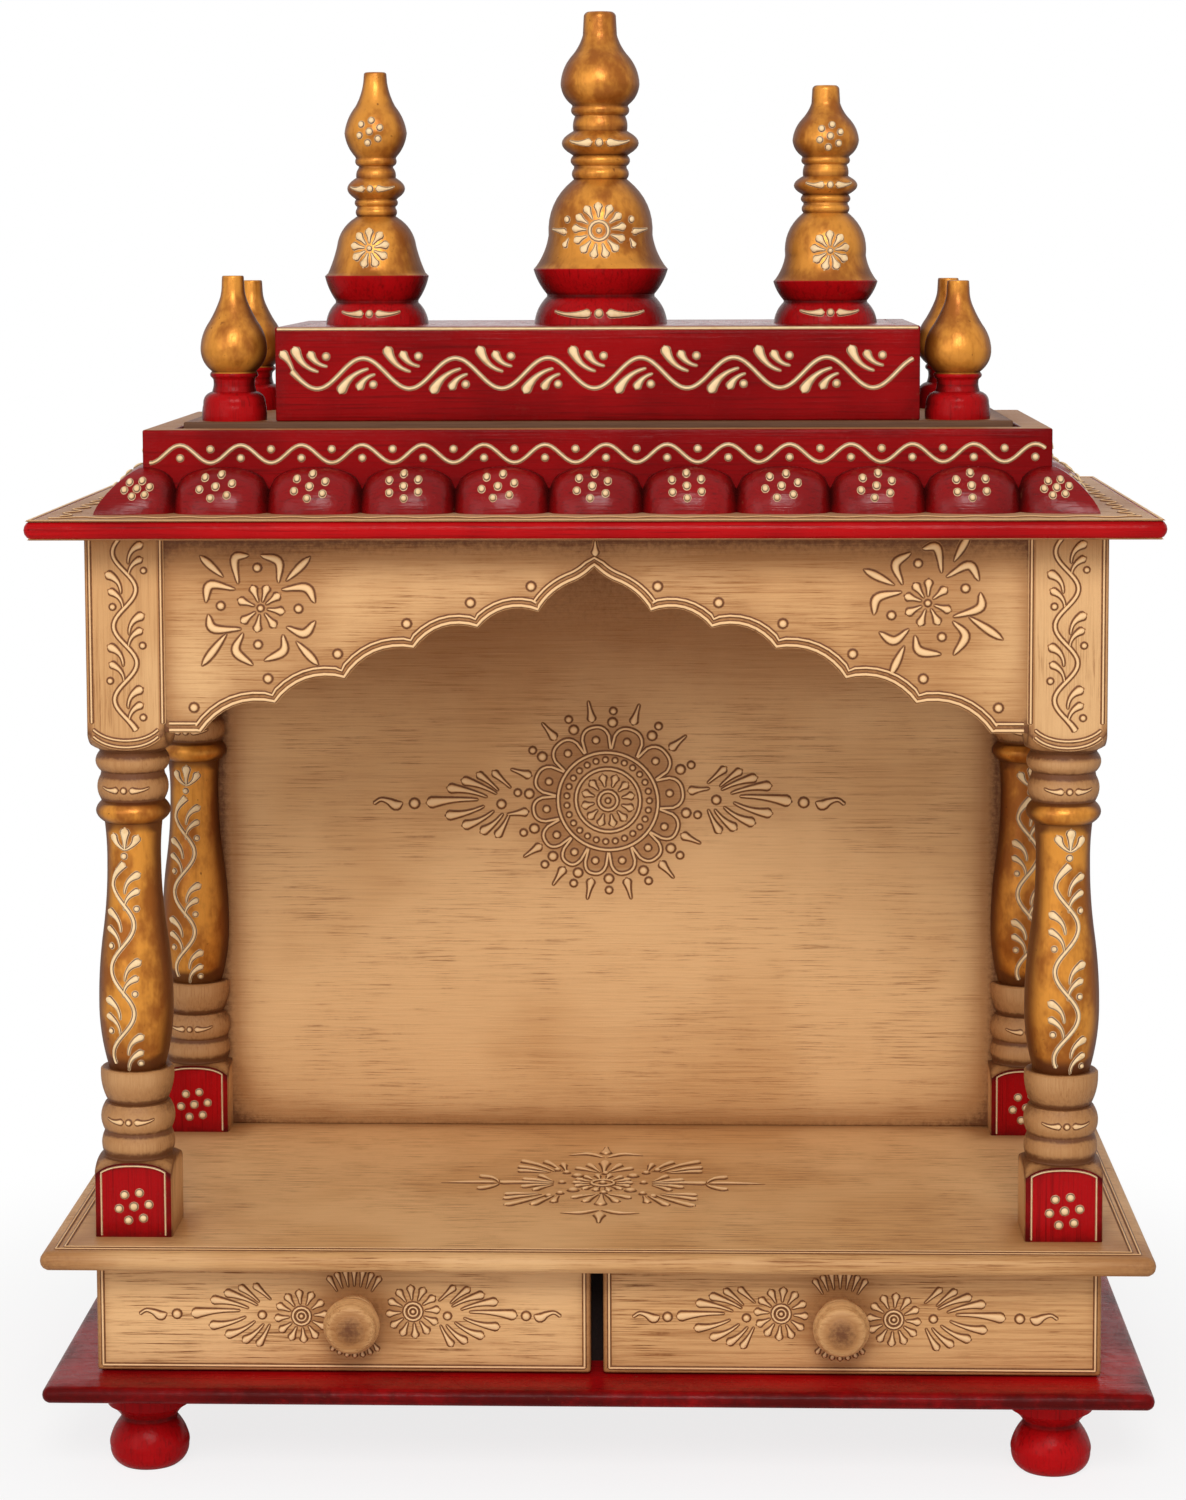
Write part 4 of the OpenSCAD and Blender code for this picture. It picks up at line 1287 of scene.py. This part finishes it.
@dataclass
class Arch:
    """A scalloped board: its lower edge follows the scallops, and its section is carried along it."""

    paints: Paints
    node: str
    lie: Lie
    scallops: Nodes
    beads: bool = True

    def build(self) -> None:
        """Builds the board, its piped edge lines and its flowers."""
        a, b = (self.lie.own(c) for c in span(self.node))
        low, high = np.minimum(a, b), np.maximum(a, b)
        middle, top, front = (low[0] + high[0]) / 2, high[1], high[2]
        thick = high[2] - low[2]
        right = bowed(self.scallops)
        edge = np.vstack([right * [-1, 1], right[::-1][1:]])
        slope = np.gradient(edge, axis=0)
        slope = slope / np.linalg.norm(slope, axis=1, keepdims=True)
        inward = np.stack([-slope[:, 1], slope[:, 0]], -1)
        soft = edge + inward * 0.9
        face = np.linspace(0, 1, 15)[:, None, None]
        crown = np.stack([edge[:, 0], np.full(len(edge), top)], -1)
        rows = [crown * (1 - f) + soft * f for f in face]
        outs = [0.0] * len(rows)
        under = ((0.28, 0.26), (0.0, 0.9), (0.0, thick / 2), (0.0, thick - 0.9), (0.28, thick - 0.26))
        for inset, back in under:
            rows.append(edge + inward * inset)
            outs.append(back)
        rows += rows[:15][::-1]
        outs += [thick] * 15
        rows.append(rows[0])
        outs.append(0.0)
        flat = np.stack(rows, 1)
        level = np.broadcast_to(front - np.array(outs)[None, :, None], (*flat.shape[:2], 1))
        grid = np.concatenate([flat, level], -1)
        ends = [np.broadcast_to(grid[k].mean(0), (1, *grid.shape[1:])) for k in (0, -1)]
        grid = np.concatenate([ends[0], grid, ends[1]])
        lip = np.concatenate([flat[:1, 14:15], flat[:, 14:15], flat[-1:, 14:15]])
        drop = np.linalg.norm(grid[..., :2] - lip, axis=-1)
        aside, height = np.abs(grid[..., 0]), grid[..., 1]
        # Darker along the scalloped edge; the third term is painted shade, darkening the board towards its
        # top as if shadowed by the roof.
        glaze_and_shade = 0.45 * np.exp(-drop / 2.6) + 0.14 * np.exp(-drop / 16.0) + 0.95 * np.exp(-(top - height) / 7.0)
        glaze_and_shade += 0.10 + 0.35 * np.exp(-(high[0] - aside) / 4.0)
        glaze_and_shade += 0.17 * self.beads * np.exp(-((np.hypot(aside - 136.5, height - 365) / 29.0) ** 4))
        cream = self.paints.cream_x if self.lie is Lie.FACING_FRONT else self.paints.cream_y
        skin = Skin(f"{self.node}_painted", [cream])
        grid[..., 0] += middle
        skin.lay(self.lie.lay(grid), np.clip(glaze_and_shade, 0, 1), 0.0, 0, True)
        origin = self.lie.lay(np.array([middle, 0.0, front]))
        paint = Relief(skin, FlatGround(origin, self.lie), 0)
        inside = edge[1:-1]
        for inset, half, halo in ((1.2, 0.7, 0.5), (3.9, 0.52, 0.9)):
            line = inside + inward[1:-1] * inset
            replace(paint, halo=halo).sweep(line, np.full(len(line), half))
        if self.beads:
            self.flowers(paint)
        skin.piece("cabinet", [self.node])

    def flowers(self, paint: Relief) -> None:
        """Dots over the cusps, a bud over the point and a flower on each side."""
        for x, z, _ in self.scallops[1:-2]:
            for hand in (-1, 1):
                paint.bead(hand * (x + 3.0), z + 10.5, 1.75)
        paint.comma((0.4, 391.5), (0.4, 387.0), 1.5)
        frieze_flower(paint.at(-137, 364))
        frieze_flower(paint.at(136, 366, 18, 1.0, -1))


@dataclass
class BackPanel:
    """The alcove's back with its mandala and two sprays."""

    paints: Paints
    centre: tuple[float, float] = (0.0, 254.0)

    def build(self) -> None:
        """Builds the panel."""
        low, high = span("back_panel")

        def stain_and_shade(x: Array, z: Array) -> Array:
            """Darker beside the pillars and along the shelf, painted shade over the upper part, and glaze
            behind the mandala.
            """
            side = np.exp(-np.abs(np.abs(x) - 180.0) / 6.5)
            foot = np.exp(-(z - low[2]) / 7.0)
            # Painted shade: the panel darkens from 285 mm upwards, as if shadowed by the arch and roof.
            upper = np.clip((z - 285.0) / 75.0, 0, 1)
            corner = np.exp(-np.hypot((np.abs(x) - 168) / 34.0, (z - low[2]) / 26.0))
            halo = np.exp(-((np.hypot(x - self.centre[0], z - self.centre[1]) / 45.0) ** 6))
            wings = np.exp(-(((np.abs(x) - 67) / 24.0) ** 4) - (((z - self.centre[1]) / 13.0) ** 4))
            ring = np.exp(-(((np.hypot(x - self.centre[0], z - self.centre[1]) - 27.0) / 7.0) ** 4))
            edges = 0.62 * side + 0.30 * foot + 0.16 * corner + 0.50 * upper
            return 0.06 + edges + 0.22 * ring + 0.14 * halo + 0.10 * wings

        skin = Skin("back_panel_painted", [self.paints.calm])
        Board(low, high, Lie.FACING_FRONT, step=4.0, stain_and_shade=stain_and_shade, edge_wash=0.2).lay_on(skin)
        paint = Relief(skin, FlatGround((0, low[1], 0)), 0).at(*self.centre)
        mandala(paint)
        fan(paint.at(-49.7, -1.7))
        fan(paint.at(50.4, 0.4, -2.0, 1.0, -1))
        skin.piece("cabinet", ["back_panel"])


@dataclass
class Roof:
    """The roof board: red half-round edge, cream rims, and a worn top piped with a wave."""

    paints: Paints

    def build(self) -> None:
        """Builds the roof board."""
        low, high = span("roof_board")
        thick = high[2] - low[2]
        skin = Skin("roof_board_painted", [self.paints.red_x, self.paints.washed, self.paints.cream_x])
        board = Board(low, high, edge=half_round(thick), edge_wash=0.12, reach=3.0)
        board.lay_on(skin, 1, 0, 2)
        wide, deep = high[0], high[1]
        for level, inset, half in ((high[2] - 0.35, 2.2, 0.8), (low[2] + 0.05, 2.6, 0.6)):
            ground = FlatGround((0, 0, level), Lie.FLAT)
            Relief(skin, ground, 2, 0.5, 0.5).border(wide - inset, deep - inset, half)
        margin = Relief(skin, FlatGround((0, 0, high[2]), Lie.FLAT), 2, 0.9, 0.9)
        for side in (-1, 1):
            x = np.linspace(-wide + 9, wide - 9, 220)
            margin.sweep(np.stack([x, side * (deep - 13) + 2.6 * np.sin(x / 3.4)], -1), np.full(220, 0.5))
            y = np.linspace(-deep + 20, deep - 20, 110)
            margin.sweep(np.stack([side * (wide - 13) + 2.6 * np.sin(y / 3.4), y], -1), np.full(110, 0.5))
        skin.piece("cabinet", ["roof_board"])


@dataclass(frozen=True)
class LobeGround:
    """The front of a lotus lobe: u across from its middle and v up from its foot."""

    row: "LotusRow"
    middle: float

    def place(self, u: Array, v: Array, h: Array) -> Array:
        """Finds the roll of the lobe at height v, then steps out by h along it."""
        row, x = self.row, self.middle + u
        inner = row.lobes * row.pitch / 2
        share, reach = np.zeros_like(x), np.full_like(x, row.reach)
        for _ in range(6):
            share = np.clip((np.abs(x) - inner) / (row.half + reach - inner), 0, 1)
            across = np.where(share > 0, share - 1, (x + inner) % row.pitch / row.pitch * 2 - 1)
            out, tall = row.size(across)
            power = 1 + 0.5 * share
            roll = np.arcsin(np.clip(v / tall, 0, 1) ** (1 / power))
            reach = out * np.cos(roll) ** power
        own = np.stack([x, row.foot + v + h * np.sin(roll), row.wall + reach + h * np.cos(roll)], -1)
        return row.lie.lay(own)


@dataclass
class LotusRow:
    """A run of swelling lobes along one wall, mitred into half lobes at the corners.

    A point of a lobe lies out = R (0.42 + 0.58 g) cos^p roll from the wall and
    H (0.5 + 0.5 g) sin^p roll above its foot, where g = sqrt(1 - |u|^2.3) across the lobe
    and p is 1, rising to 1.5 at the mitre, where the moulding thins.
    """

    lie: Lie
    wall: float
    half: float
    lobes: int
    pitch: float
    foot: float
    reach: float
    height: float

    def size(self, across: Array) -> tuple[Array, Array]:
        """The lobe's reach and height at a place across it, from -1 to 1."""
        g = np.sqrt(np.clip(1 - np.abs(across) ** 2.3, 0, 1))
        return self.reach * (0.42 + 0.58 * g), self.height * (0.5 + 0.5 * g)

    def lay_on(self, skin: Skin) -> None:
        """Adds the run of lobes to a skin."""
        inner = self.lobes * self.pitch / 2
        t = np.linspace(-1, 1, 17)[:-1]
        starts = np.arange(self.lobes) * self.pitch - inner
        full = np.append((starts[:, None] + (t + 1) / 2 * self.pitch).reshape(-1), inner)
        across = np.concatenate([np.tile(t, self.lobes), [1.0]])
        s = np.linspace(0, 1, 10)
        roll = np.linspace(0, math.pi / 2, 11)[None]
        out, tall = self.size(across)
        grids = [(full, out, tall, across)]
        out_c, tall_c = self.size(-1 + s)
        grids.append((None, out_c, tall_c, -1 + s))
        for x, reach, high, place in grids:
            power = 1.0 if x is not None else 1 + 0.5 * s[:, None]
            o = reach[:, None] * np.clip(np.cos(roll), 0, 1) ** power
            z = high[:, None] * np.sin(roll) ** power
            valley = np.clip(0.95 * np.abs(place) ** 5, 0, 1)[:, None] * (0.5 + 0.5 * np.sin(roll))
            brow = 0.5 * np.exp(-(((roll - math.pi / 2) / 0.22) ** 2))
            glaze_and_shade = np.clip(valley + brow, 0, 1)
            if x is not None:
                grid = np.stack([np.broadcast_to(x[:, None], o.shape), self.foot + z, self.wall + o], -1)
                skin.lay(self.lie.lay(grid), glaze_and_shade)
                continue
            x = inner + s[:, None] * (self.half + o - inner)
            grid = np.stack([x, self.foot + z, self.wall + o], -1)
            skin.lay(self.lie.lay(grid), glaze_and_shade)
            skin.lay(self.lie.lay(grid * [-1, 1, 1])[::-1], glaze_and_shade[::-1])

    def dot(self, skin: Skin, paint: int) -> None:
        """Pipes seven dots on each full lobe, and a tighter set on the corner ones."""
        inner = self.lobes * self.pitch / 2
        for k in range(self.lobes):
            lobe = Relief(skin, LobeGround(self, (k + 0.5) * self.pitch - inner), paint, 0.5, 0.8)
            seven_dots(lobe.at(-1.0, 11.4), 6.9, 1.2, 0.70, 14.0 + 9 * (k % 3))
        for hand in (-1, 1):
            lobe = Relief(skin, LobeGround(self, hand * (inner + 14.5)), paint, 0.5, 0.8)
            seven_dots(lobe.at(0.0, 10.4), 5.2, 1.15, 0.62, 10.0)


def end_walls(tier: str) -> list[tuple[Lie, Array, Array]]:
    """The left and right walls of a tier, which stand between its front and rear walls."""
    low, high = span(f"{tier}_ends")
    front_low, front_high = span(f"{tier}_front")
    thick, deep = front_high[1] - front_low[1], -front_high[1]
    sides = ((Lie.FACING_LEFT, low[0], low[0] + thick), (Lie.FACING_RIGHT, high[0] - thick, high[0]))
    return [(lie, np.array([x0, -deep, low[2]]), np.array([x1, deep, high[2]])) for lie, x0, x1 in sides]


@dataclass
class Tiers:
    """The parapet with its lotus moulding, the crown board and the plinth above it."""

    paints: Paints
    lobes: tuple[int, int] = (9, 3)
    pitch: float = 38.8

    def build(self) -> None:
        """Builds the tiers from the roof up."""
        self.lotus()
        self.parapet()
        self.crown()
        self.plinth()

    def lotus(self) -> None:
        """Builds the four runs of lobes."""
        low, high = span("lotus_front")
        wall_low, wall_high = span("parapet_front")
        reach, tall = wall_low[1] - low[1], high[2] - low[2]
        half_x, half_y = wall_high[0], -wall_low[1]
        coats = [self.paints.lobes, self.paints.piped]
        runs = {
            "lotus_front": [(Lie.FACING_FRONT, half_y, half_x, self.lobes[0])],
            "lotus_rear": [(Lie.FACING_REAR, half_y, half_x, self.lobes[0])],
            "lotus_ends": [(Lie.FACING_LEFT, half_x, half_y, self.lobes[1]),
                           (Lie.FACING_RIGHT, half_x, half_y, self.lobes[1])],
        }
        for node, rows in runs.items():
            skin = Skin(f"{node}_carved", coats)
            for lie, wall, half, lobes in rows:
                row = LotusRow(lie, wall, half, lobes, self.pitch, low[2], reach, tall)
                row.lay_on(skin)
                row.dot(skin, 1)
            skin.piece("cabinet", [node])

    def wave(self, paint: Relief, half: float) -> None:
        """A wave of 25.3 mm period with a dot in each hollow."""
        x = np.linspace(-half + 3, half - 3, int(half * 1.4))
        paint.sweep(np.stack([x, 3.7 * np.sin(2 * math.pi * (x + 2.0) / 25.3)], -1), np.full(len(x), 0.5))
        count = int(half // 12.65)
        for k in range(-count, count + 1):
            at = 12.65 * k + 6.3 - 2.0
            if abs(at) < half - 4:
                paint.bead(at, -1.7 if k % 2 == 0 else 2.0, 1.35)

    def parapet(self) -> None:
        """Builds the low wall round the roof, front and rear whole, ends between them."""
        coats = [self.paints.deep_x, self.paints.washed, self.paints.piped]
        front_low, front_high = span("parapet_front")
        centre = front_high[2] - 10.1
        for node, lie in (("parapet_front", Lie.FACING_FRONT), ("parapet_rear", Lie.FACING_REAR)):
            low, high = span(node)
            skin = Skin(f"{node}_painted", coats)
            Board(low, high, lie, edge_wash=0.3, reach=2.5).lay_on(skin, upper=1)
            ground = FlatGround(lie.lay(np.array([0, centre, -front_low[1]])), lie)
            if lie is Lie.FACING_FRONT:
                self.wave(Relief(skin, ground, 2, 0.45, 0.8), high[0])
            skin.piece("cabinet", [node])
        skin = Skin("parapet_ends_painted", [self.paints.deep_y, self.paints.washed, self.paints.piped])
        for lie, low, high in end_walls("parapet"):
            Board(low, high, lie, edge_wash=0.3, reach=2.5).lay_on(skin, upper=1)
            ground = FlatGround(lie.lay(np.array([0, centre, np.abs([low[0], high[0]]).max()])), lie)
            self.wave(Relief(skin, ground, 2, 0.45, 0.8), -front_low[1])
        skin.piece("cabinet", ["parapet_ends"])

    def crown(self) -> None:
        """Builds the board that covers the tier."""
        dress(["crown_bearers"], self.paints.wood_y)
        low, high = span("crown_board")
        skin = Skin("crown_board_dark_edged", [self.paints.wood_x, self.paints.washed])
        # The board darkens almost to the dark wood tone towards every edge.
        Board(low, high, edge_wash=1.0, reach=12.0).lay_on(skin, 1, 0, 0)
        skin.piece("cabinet", ["crown_board"])

    def vine(self, paint: Relief, half: float) -> None:
        """The plinth's vine: 6.4 cos on a 38.8 mm period, with two commas and a dot in each hollow."""
        x = np.linspace(-half + 7, half - 3.0, 190)
        wave = 6.4 * np.cos(2 * math.pi * (x + 98) / 38.8)
        paint.sweep(np.stack([x, wave], -1), np.interp(x, [-half + 7, -half + 12], [1.0, 0.55]))
        paint.comma((-half + 7.5, 1.2), (-half + 3.6, 8.0), 1.7, -0.1)
        for k in range(-4, 5):
            trough, crest = -120.7 + 38.8 * (k + 3), -98 + 38.8 * (k + 3)
            if abs(trough) < half - 9:
                paint.comma((trough + 3.6, 0.8), (trough - 5.6, 9.4), 1.9, 0.26)
                paint.comma((trough + 7.4, 3.0), (trough + 0.8, 7.8), 1.55, 0.26)
                paint.bead(trough + 7.2, 7.2, 1.4)
            if abs(crest) < half - 9:
                paint.comma((crest + 2.0, 1.9), (crest - 9.0, -6.6), 1.9, -0.22)
                paint.comma((crest + 4.8, -0.4), (crest - 1.4, -5.4), 1.55, -0.22)
                paint.bead(crest + 4.2, -4.6, 1.4)

    def plinth(self) -> None:
        """Builds the upper block that carries the finials."""
        level = span("plinth_front")[0][2] + 20.0
        for node, lie in (("plinth_front", Lie.FACING_FRONT), ("plinth_rear", Lie.FACING_REAR)):
            low, high = span(node)
            skin = Skin(f"{node}_painted", [self.paints.deep_x, self.paints.piped])
            Board(low, high, lie, edge_wash=0.35, reach=3.0).lay_on(skin)
            if lie is Lie.FACING_FRONT:
                ground = FlatGround((0, low[1], level), lie)
                self.vine(Relief(skin, ground, 1, 0.5, 1.0), high[0])
                line = np.linspace(-high[0] + 1.0, high[0] - 1.0, 120)
                edge = Relief(skin, FlatGround((0, low[1], high[2] - 0.9), lie), 1, 0.3, 0.35)
                edge.sweep(np.stack([line, 0 * line], -1), np.full(120, 0.38))
            skin.piece("cabinet", [node])
        skin = Skin("plinth_ends_painted", [self.paints.deep_y])
        for lie, low, high in end_walls("plinth"):
            Board(low, high, lie, edge_wash=0.35, reach=3.0).lay_on(skin)
        skin.piece("cabinet", ["plinth_ends"])
        skin = Skin("plinth_top_painted", [self.paints.deep_x])
        Board(*span("plinth_top"), edge_wash=0.2).lay_on(skin)
        skin.piece("cabinet", ["plinth_top"])


TALL_FINIAL: Nodes = (
    (28.9, 0, 1.2), (23.4, 11.6, 0), (23.4, 12.6, 0.7), (29.2, 23.4, 0), (27.8, 25, -0.8), (22.6, 38, 3.3),
    (12.2, 61.6, 0), (11.5, 62.2, 0.9), (11.5, 66.8, 0), (11.4, 67.8, 1.3), (11.8, 72.4, 0), (12.6, 73, 4.1),
    (12.6, 82.4, 0), (11.6, 83, 0.5), (11, 89, 0), (11, 89.4, 1.1), (12, 93.6, 0), (12.3, 94.2, 1.1),
    (17.1, 103, 1.1), (12.4, 115, -0.6), (7.4, 124, 0), (7, 131.5, 0.5), (5.4, 134, 0),
)
LEFT_FINIAL: Nodes = (
    (22.4, 0, 1), (18.1, 9.4, 0), (18.1, 10.4, 0.6), (22.7, 21.2, 0), (21.3, 22.5, -0.3), (17.3, 34.5, 1.7),
    (9.3, 47, 0), (8.4, 47.6, 0.6), (8.5, 51, 0), (8.4, 51.8, 0.8), (8.9, 55, 0), (9.5, 55.6, 3.1),
    (9.5, 64, 0), (8.6, 64.6, 0.5), (7.5, 69, 0), (7.5, 69.6, 0.9), (8.7, 73.2, 0), (9, 73.8, 0.9),
    (13.6, 84.2, 0.9), (8.7, 96, -0.5), (5.2, 106.5, 0), (4.9, 110.2, 0.3), (3.6, 111, 0),
)
CORNER_FINIAL: Nodes = (
    (13.6, 0, 0.3), (13.2, 6.6, 1.3), (9.3, 12, 0), (9.2, 12.6, -0.3), (8.8, 17, 0), (9.2, 17.6, 0.9),
    (9.3, 20.4, 0), (9.8, 20.8, 1.3), (14, 30.5, 0.8), (10.2, 41, -0.2), (6, 49.5, -0.3), (4.8, 56, 0),
    (4.6, 59.5, 0.2), (3.8, 60, 0),
)


@dataclass
class Finial:
    """A turned finial: red up to its rim, gold above, with a flower on its bell."""

    paints: Paints
    node: str
    nodes: Nodes
    red_share: float
    stretch: float = 1.0
    flower: tuple[float, int, float] | None = None
    disc: float = 0.0
    bulb: float = 0.0
    facing: float = 0.0

    def build(self) -> None:
        """Builds the finial, its two colours and its piped work."""
        low, high = span(self.node)
        nodes = [(r * (self.stretch if z > 61.5 else 1.0), z, b) for r, z, b in self.nodes]
        profile, foot = fitted(nodes, low, high), foot_of(low, high)
        tall = high[2] - low[2]
        skin = Skin(f"{self.node}_turned", [self.paints.red_z, self.paints.gold, self.paints.piped])
        # The finial gets painted shade on the sides that face left and right.
        turned = Lathe(profile, foot, around=96, tip=0.0, side_shade=0.6)
        turned.lay_on(skin, ((tall * self.red_share, 0), (tall + 1, 1)))
        paint = Relief(skin, TurnedGround(profile, foot), 2, 0.55, 0.9).at(self.facing, 0)
        if self.flower:
            height, petals, ring = self.flower
            bell_flower(paint.at(0, height), petals, ring, ring > 0)
            width = 1.5 if ring > 0 else 1.2
            paint.at(0, self.disc).dart_dot_dart(width, 14.5 if ring > 0 else 11.0)
            paint.at(0, 4.6).dart_dot_dart(width * 1.1, 21.0 if ring > 0 else 13.5)
        if self.bulb:
            seven_dots(paint.at(0, self.bulb), 4.8, 1.25, 1.0, 20.0)
        skin.piece("cabinet", [self.node])


def build_finials(paints: Paints) -> None:
    """Builds the three finials on the plinth and the four at the parapet's corners."""
    share = 23.9 / 134
    Finial(paints, "finial_centre", TALL_FINIAL, share, flower=(39.9, 13, 4.0), disc=77.6).build()
    Finial(paints, "finial_left", LEFT_FINIAL, 21.6 / 111, 1.0, (32.7, 9, 0), 58.3, 82.8, -1.5).build()
    slim = 0.84 * 29.2 / 22.6
    Finial(paints, "finial_right", TALL_FINIAL, share, slim, (31.0, 9, 0), 59.2, 80.0, 1.5).build()
    for place in PLACES:
        Finial(paints, f"corner_finial_{place}", CORNER_FINIAL, 19.6 / 60).build()


# ---------------------------------------------------------------- studio


@dataclass
class Studio:
    """A pale floor, soft lamps and the camera."""

    place_mm: tuple[float, float, float] = (45.27, -1517.26, 513.38)
    turn: tuple[float, float, float] = (0.0913, 0.0037, 0.0320)
    focal: float = 3480.6
    frame_height: int = 1500
    drop: float = -190.0
    key: float = 28.5
    sky: float = 0.46

    def build(self) -> None:
        """Sets the stage."""
        self.floor()
        self.world()
        self.lamp("key_lamp", (0.06, -2.0, 1.55), 0.8, self.key)
        self.lamp("fill_lamp", (-1.3, -1.9, 0.9), 1.2, self.key * 0.28)
        self.camera()

    def floor(self) -> None:
        """A wide white floor that takes the shadow, and melts into the white background far off."""
        g = Graph("studio_floor")
        where = g.node("ShaderNodeTexCoord", {}, {}, "Object")
        away = g.node("ShaderNodeVectorMath", {"operation": "LENGTH"}, {0: where}, "Value")
        seen = g.node("ShaderNodeLightPath", {}, {}, "Is Camera Ray")
        g.shader.inputs["Base Color"].default_value = (0.93, 0.93, 0.93, 1)
        g.shader.inputs["Roughness"].default_value = 0.9
        glow = g.node("ShaderNodeEmission", {}, {"Color": (1, 1, 1, 1), "Strength": 1.0})
        share = (0.80 + away.step(0.28, 0.50) * 0.20) * seen
        mixed = g.node("ShaderNodeMixShader", {}, {0: share, 1: Sock(g, g.shader.outputs[0]), 2: glow})
        g.tree.links.new(mixed.out, g.output.inputs["Surface"])
        mesh = bpy.data.meshes.new("studio_floor")
        reach = np.array([-12.0, 12.0])
        x, y = np.meshgrid(reach, reach, indexing="ij")
        corners = np.stack([x, y, 0 * x], -1).reshape(-1, 3)[[0, 2, 3, 1]]
        mesh.from_pydata(corners, [], [(0, 1, 2, 3)])
        mesh.materials.append(g.material)
        floor = bpy.data.objects.new("studio_floor", mesh)
        bpy.context.scene.collection.objects.link(floor)

    def world(self) -> None:
        """Even white light, and plain white where the background itself is seen or mirrored."""
        world = bpy.data.worlds.new("studio")
        world.use_nodes = True
        tree = world.node_tree
        tree.nodes.clear()
        out = tree.nodes.new("ShaderNodeOutputWorld")
        path = tree.nodes.new("ShaderNodeLightPath")
        soft, white = (tree.nodes.new("ShaderNodeBackground") for _ in range(2))
        mix = tree.nodes.new("ShaderNodeMixShader")
        soft.inputs["Strength"].default_value = self.sky
        white.inputs["Color"].default_value = (1, 1, 1, 1)
        soft.inputs["Color"].default_value = (1, 1, 1, 1)
        seen = path.outputs["Is Camera Ray"]
        for name in ("Is Glossy Ray", "Is Transmission Ray"):
            either = tree.nodes.new("ShaderNodeMath")
            either.operation = "MAXIMUM"
            tree.links.new(seen, either.inputs[0])
            tree.links.new(path.outputs[name], either.inputs[1])
            seen = either.outputs[0]
        tree.links.new(seen, mix.inputs[0])
        tree.links.new(soft.outputs[0], mix.inputs[1])
        tree.links.new(white.outputs[0], mix.inputs[2])
        tree.links.new(mix.outputs[0], out.inputs["Surface"])
        bpy.context.scene.world = world

    def lamp(self, name: str, at: tuple[float, float, float], size: float, power: float) -> None:
        """A square soft lamp aimed at the middle of the temple."""
        data = bpy.data.lights.new(name, "AREA")
        data.size, data.energy = size, power
        lamp = bpy.data.objects.new(name, data)
        lamp.location = at
        aim = np.array([0, 0, 0.3]) - np.array(at)
        tilt, heading = math.atan2(math.hypot(aim[0], aim[1]), -aim[2]), math.atan2(aim[1], aim[0])
        lamp.rotation_euler = (tilt, 0, heading - math.pi / 2)
        bpy.context.scene.collection.objects.link(lamp)

    def camera(self) -> None:
        """The camera, level with the roof and a little to the right, shifted down onto the temple."""
        data = bpy.data.cameras.new("camera")
        data.sensor_width = 36.0
        data.lens = self.focal / self.frame_height * data.sensor_width
        data.shift_y = self.drop / self.frame_height
        data.clip_end = 50
        camera = bpy.data.objects.new("camera", data)
        camera.location = [v * MM for v in self.place_mm]
        pitch, roll, yaw = self.turn
        camera.rotation_euler = (math.pi / 2 - pitch, roll, yaw)
        bpy.context.scene.collection.objects.link(camera)
        bpy.context.scene.camera = camera


FRONT_SCALLOPS: Nodes = (
    (177.2, 312.4, 0), (162, 312.4, 5.4), (131.3, 324.4, 5), (102.5, 334.6, 5), (74, 347.1, 4.8),
    (47.8, 355.7, 4.4), (22.9, 362.4, 1.8), (8, 375, -0.5), (0, 380.8, 0),
)
SIDE_SCALLOPS: Nodes = (
    (70, 312.4, 0), (60, 312.4, 4.4), (39, 327, 4.2), (19.5, 340, 1.4), (7, 351, -0.4), (0, 356.5, 0),
)


def main() -> None:
    """Builds every sub-assembly in order, from the feet up, and then the studio."""
    logging.basicConfig(level=logging.INFO, format="%(name)s %(message)s")
    bpy.context.scene.view_settings.view_transform = "Standard"
    paints = Paints()
    Base(paints).build()
    for side in ("left", "right"):
        Drawer(paints, side).build()
    Shelf(paints).build()
    for place in PLACES:
        Pillar(paints, place).build()
    BackPanel(paints).build()
    Arch(paints, "front_arch", Lie.FACING_FRONT, FRONT_SCALLOPS).build()
    Arch(paints, "side_arch_left", Lie.FACING_LEFT, SIDE_SCALLOPS, False).build()
    Arch(paints, "side_arch_right", Lie.FACING_RIGHT, SIDE_SCALLOPS, False).build()
    Roof(paints).build()
    Tiers(paints).build()
    build_finials(paints)
    Studio().build()


if __name__ == "__main__":
    main()
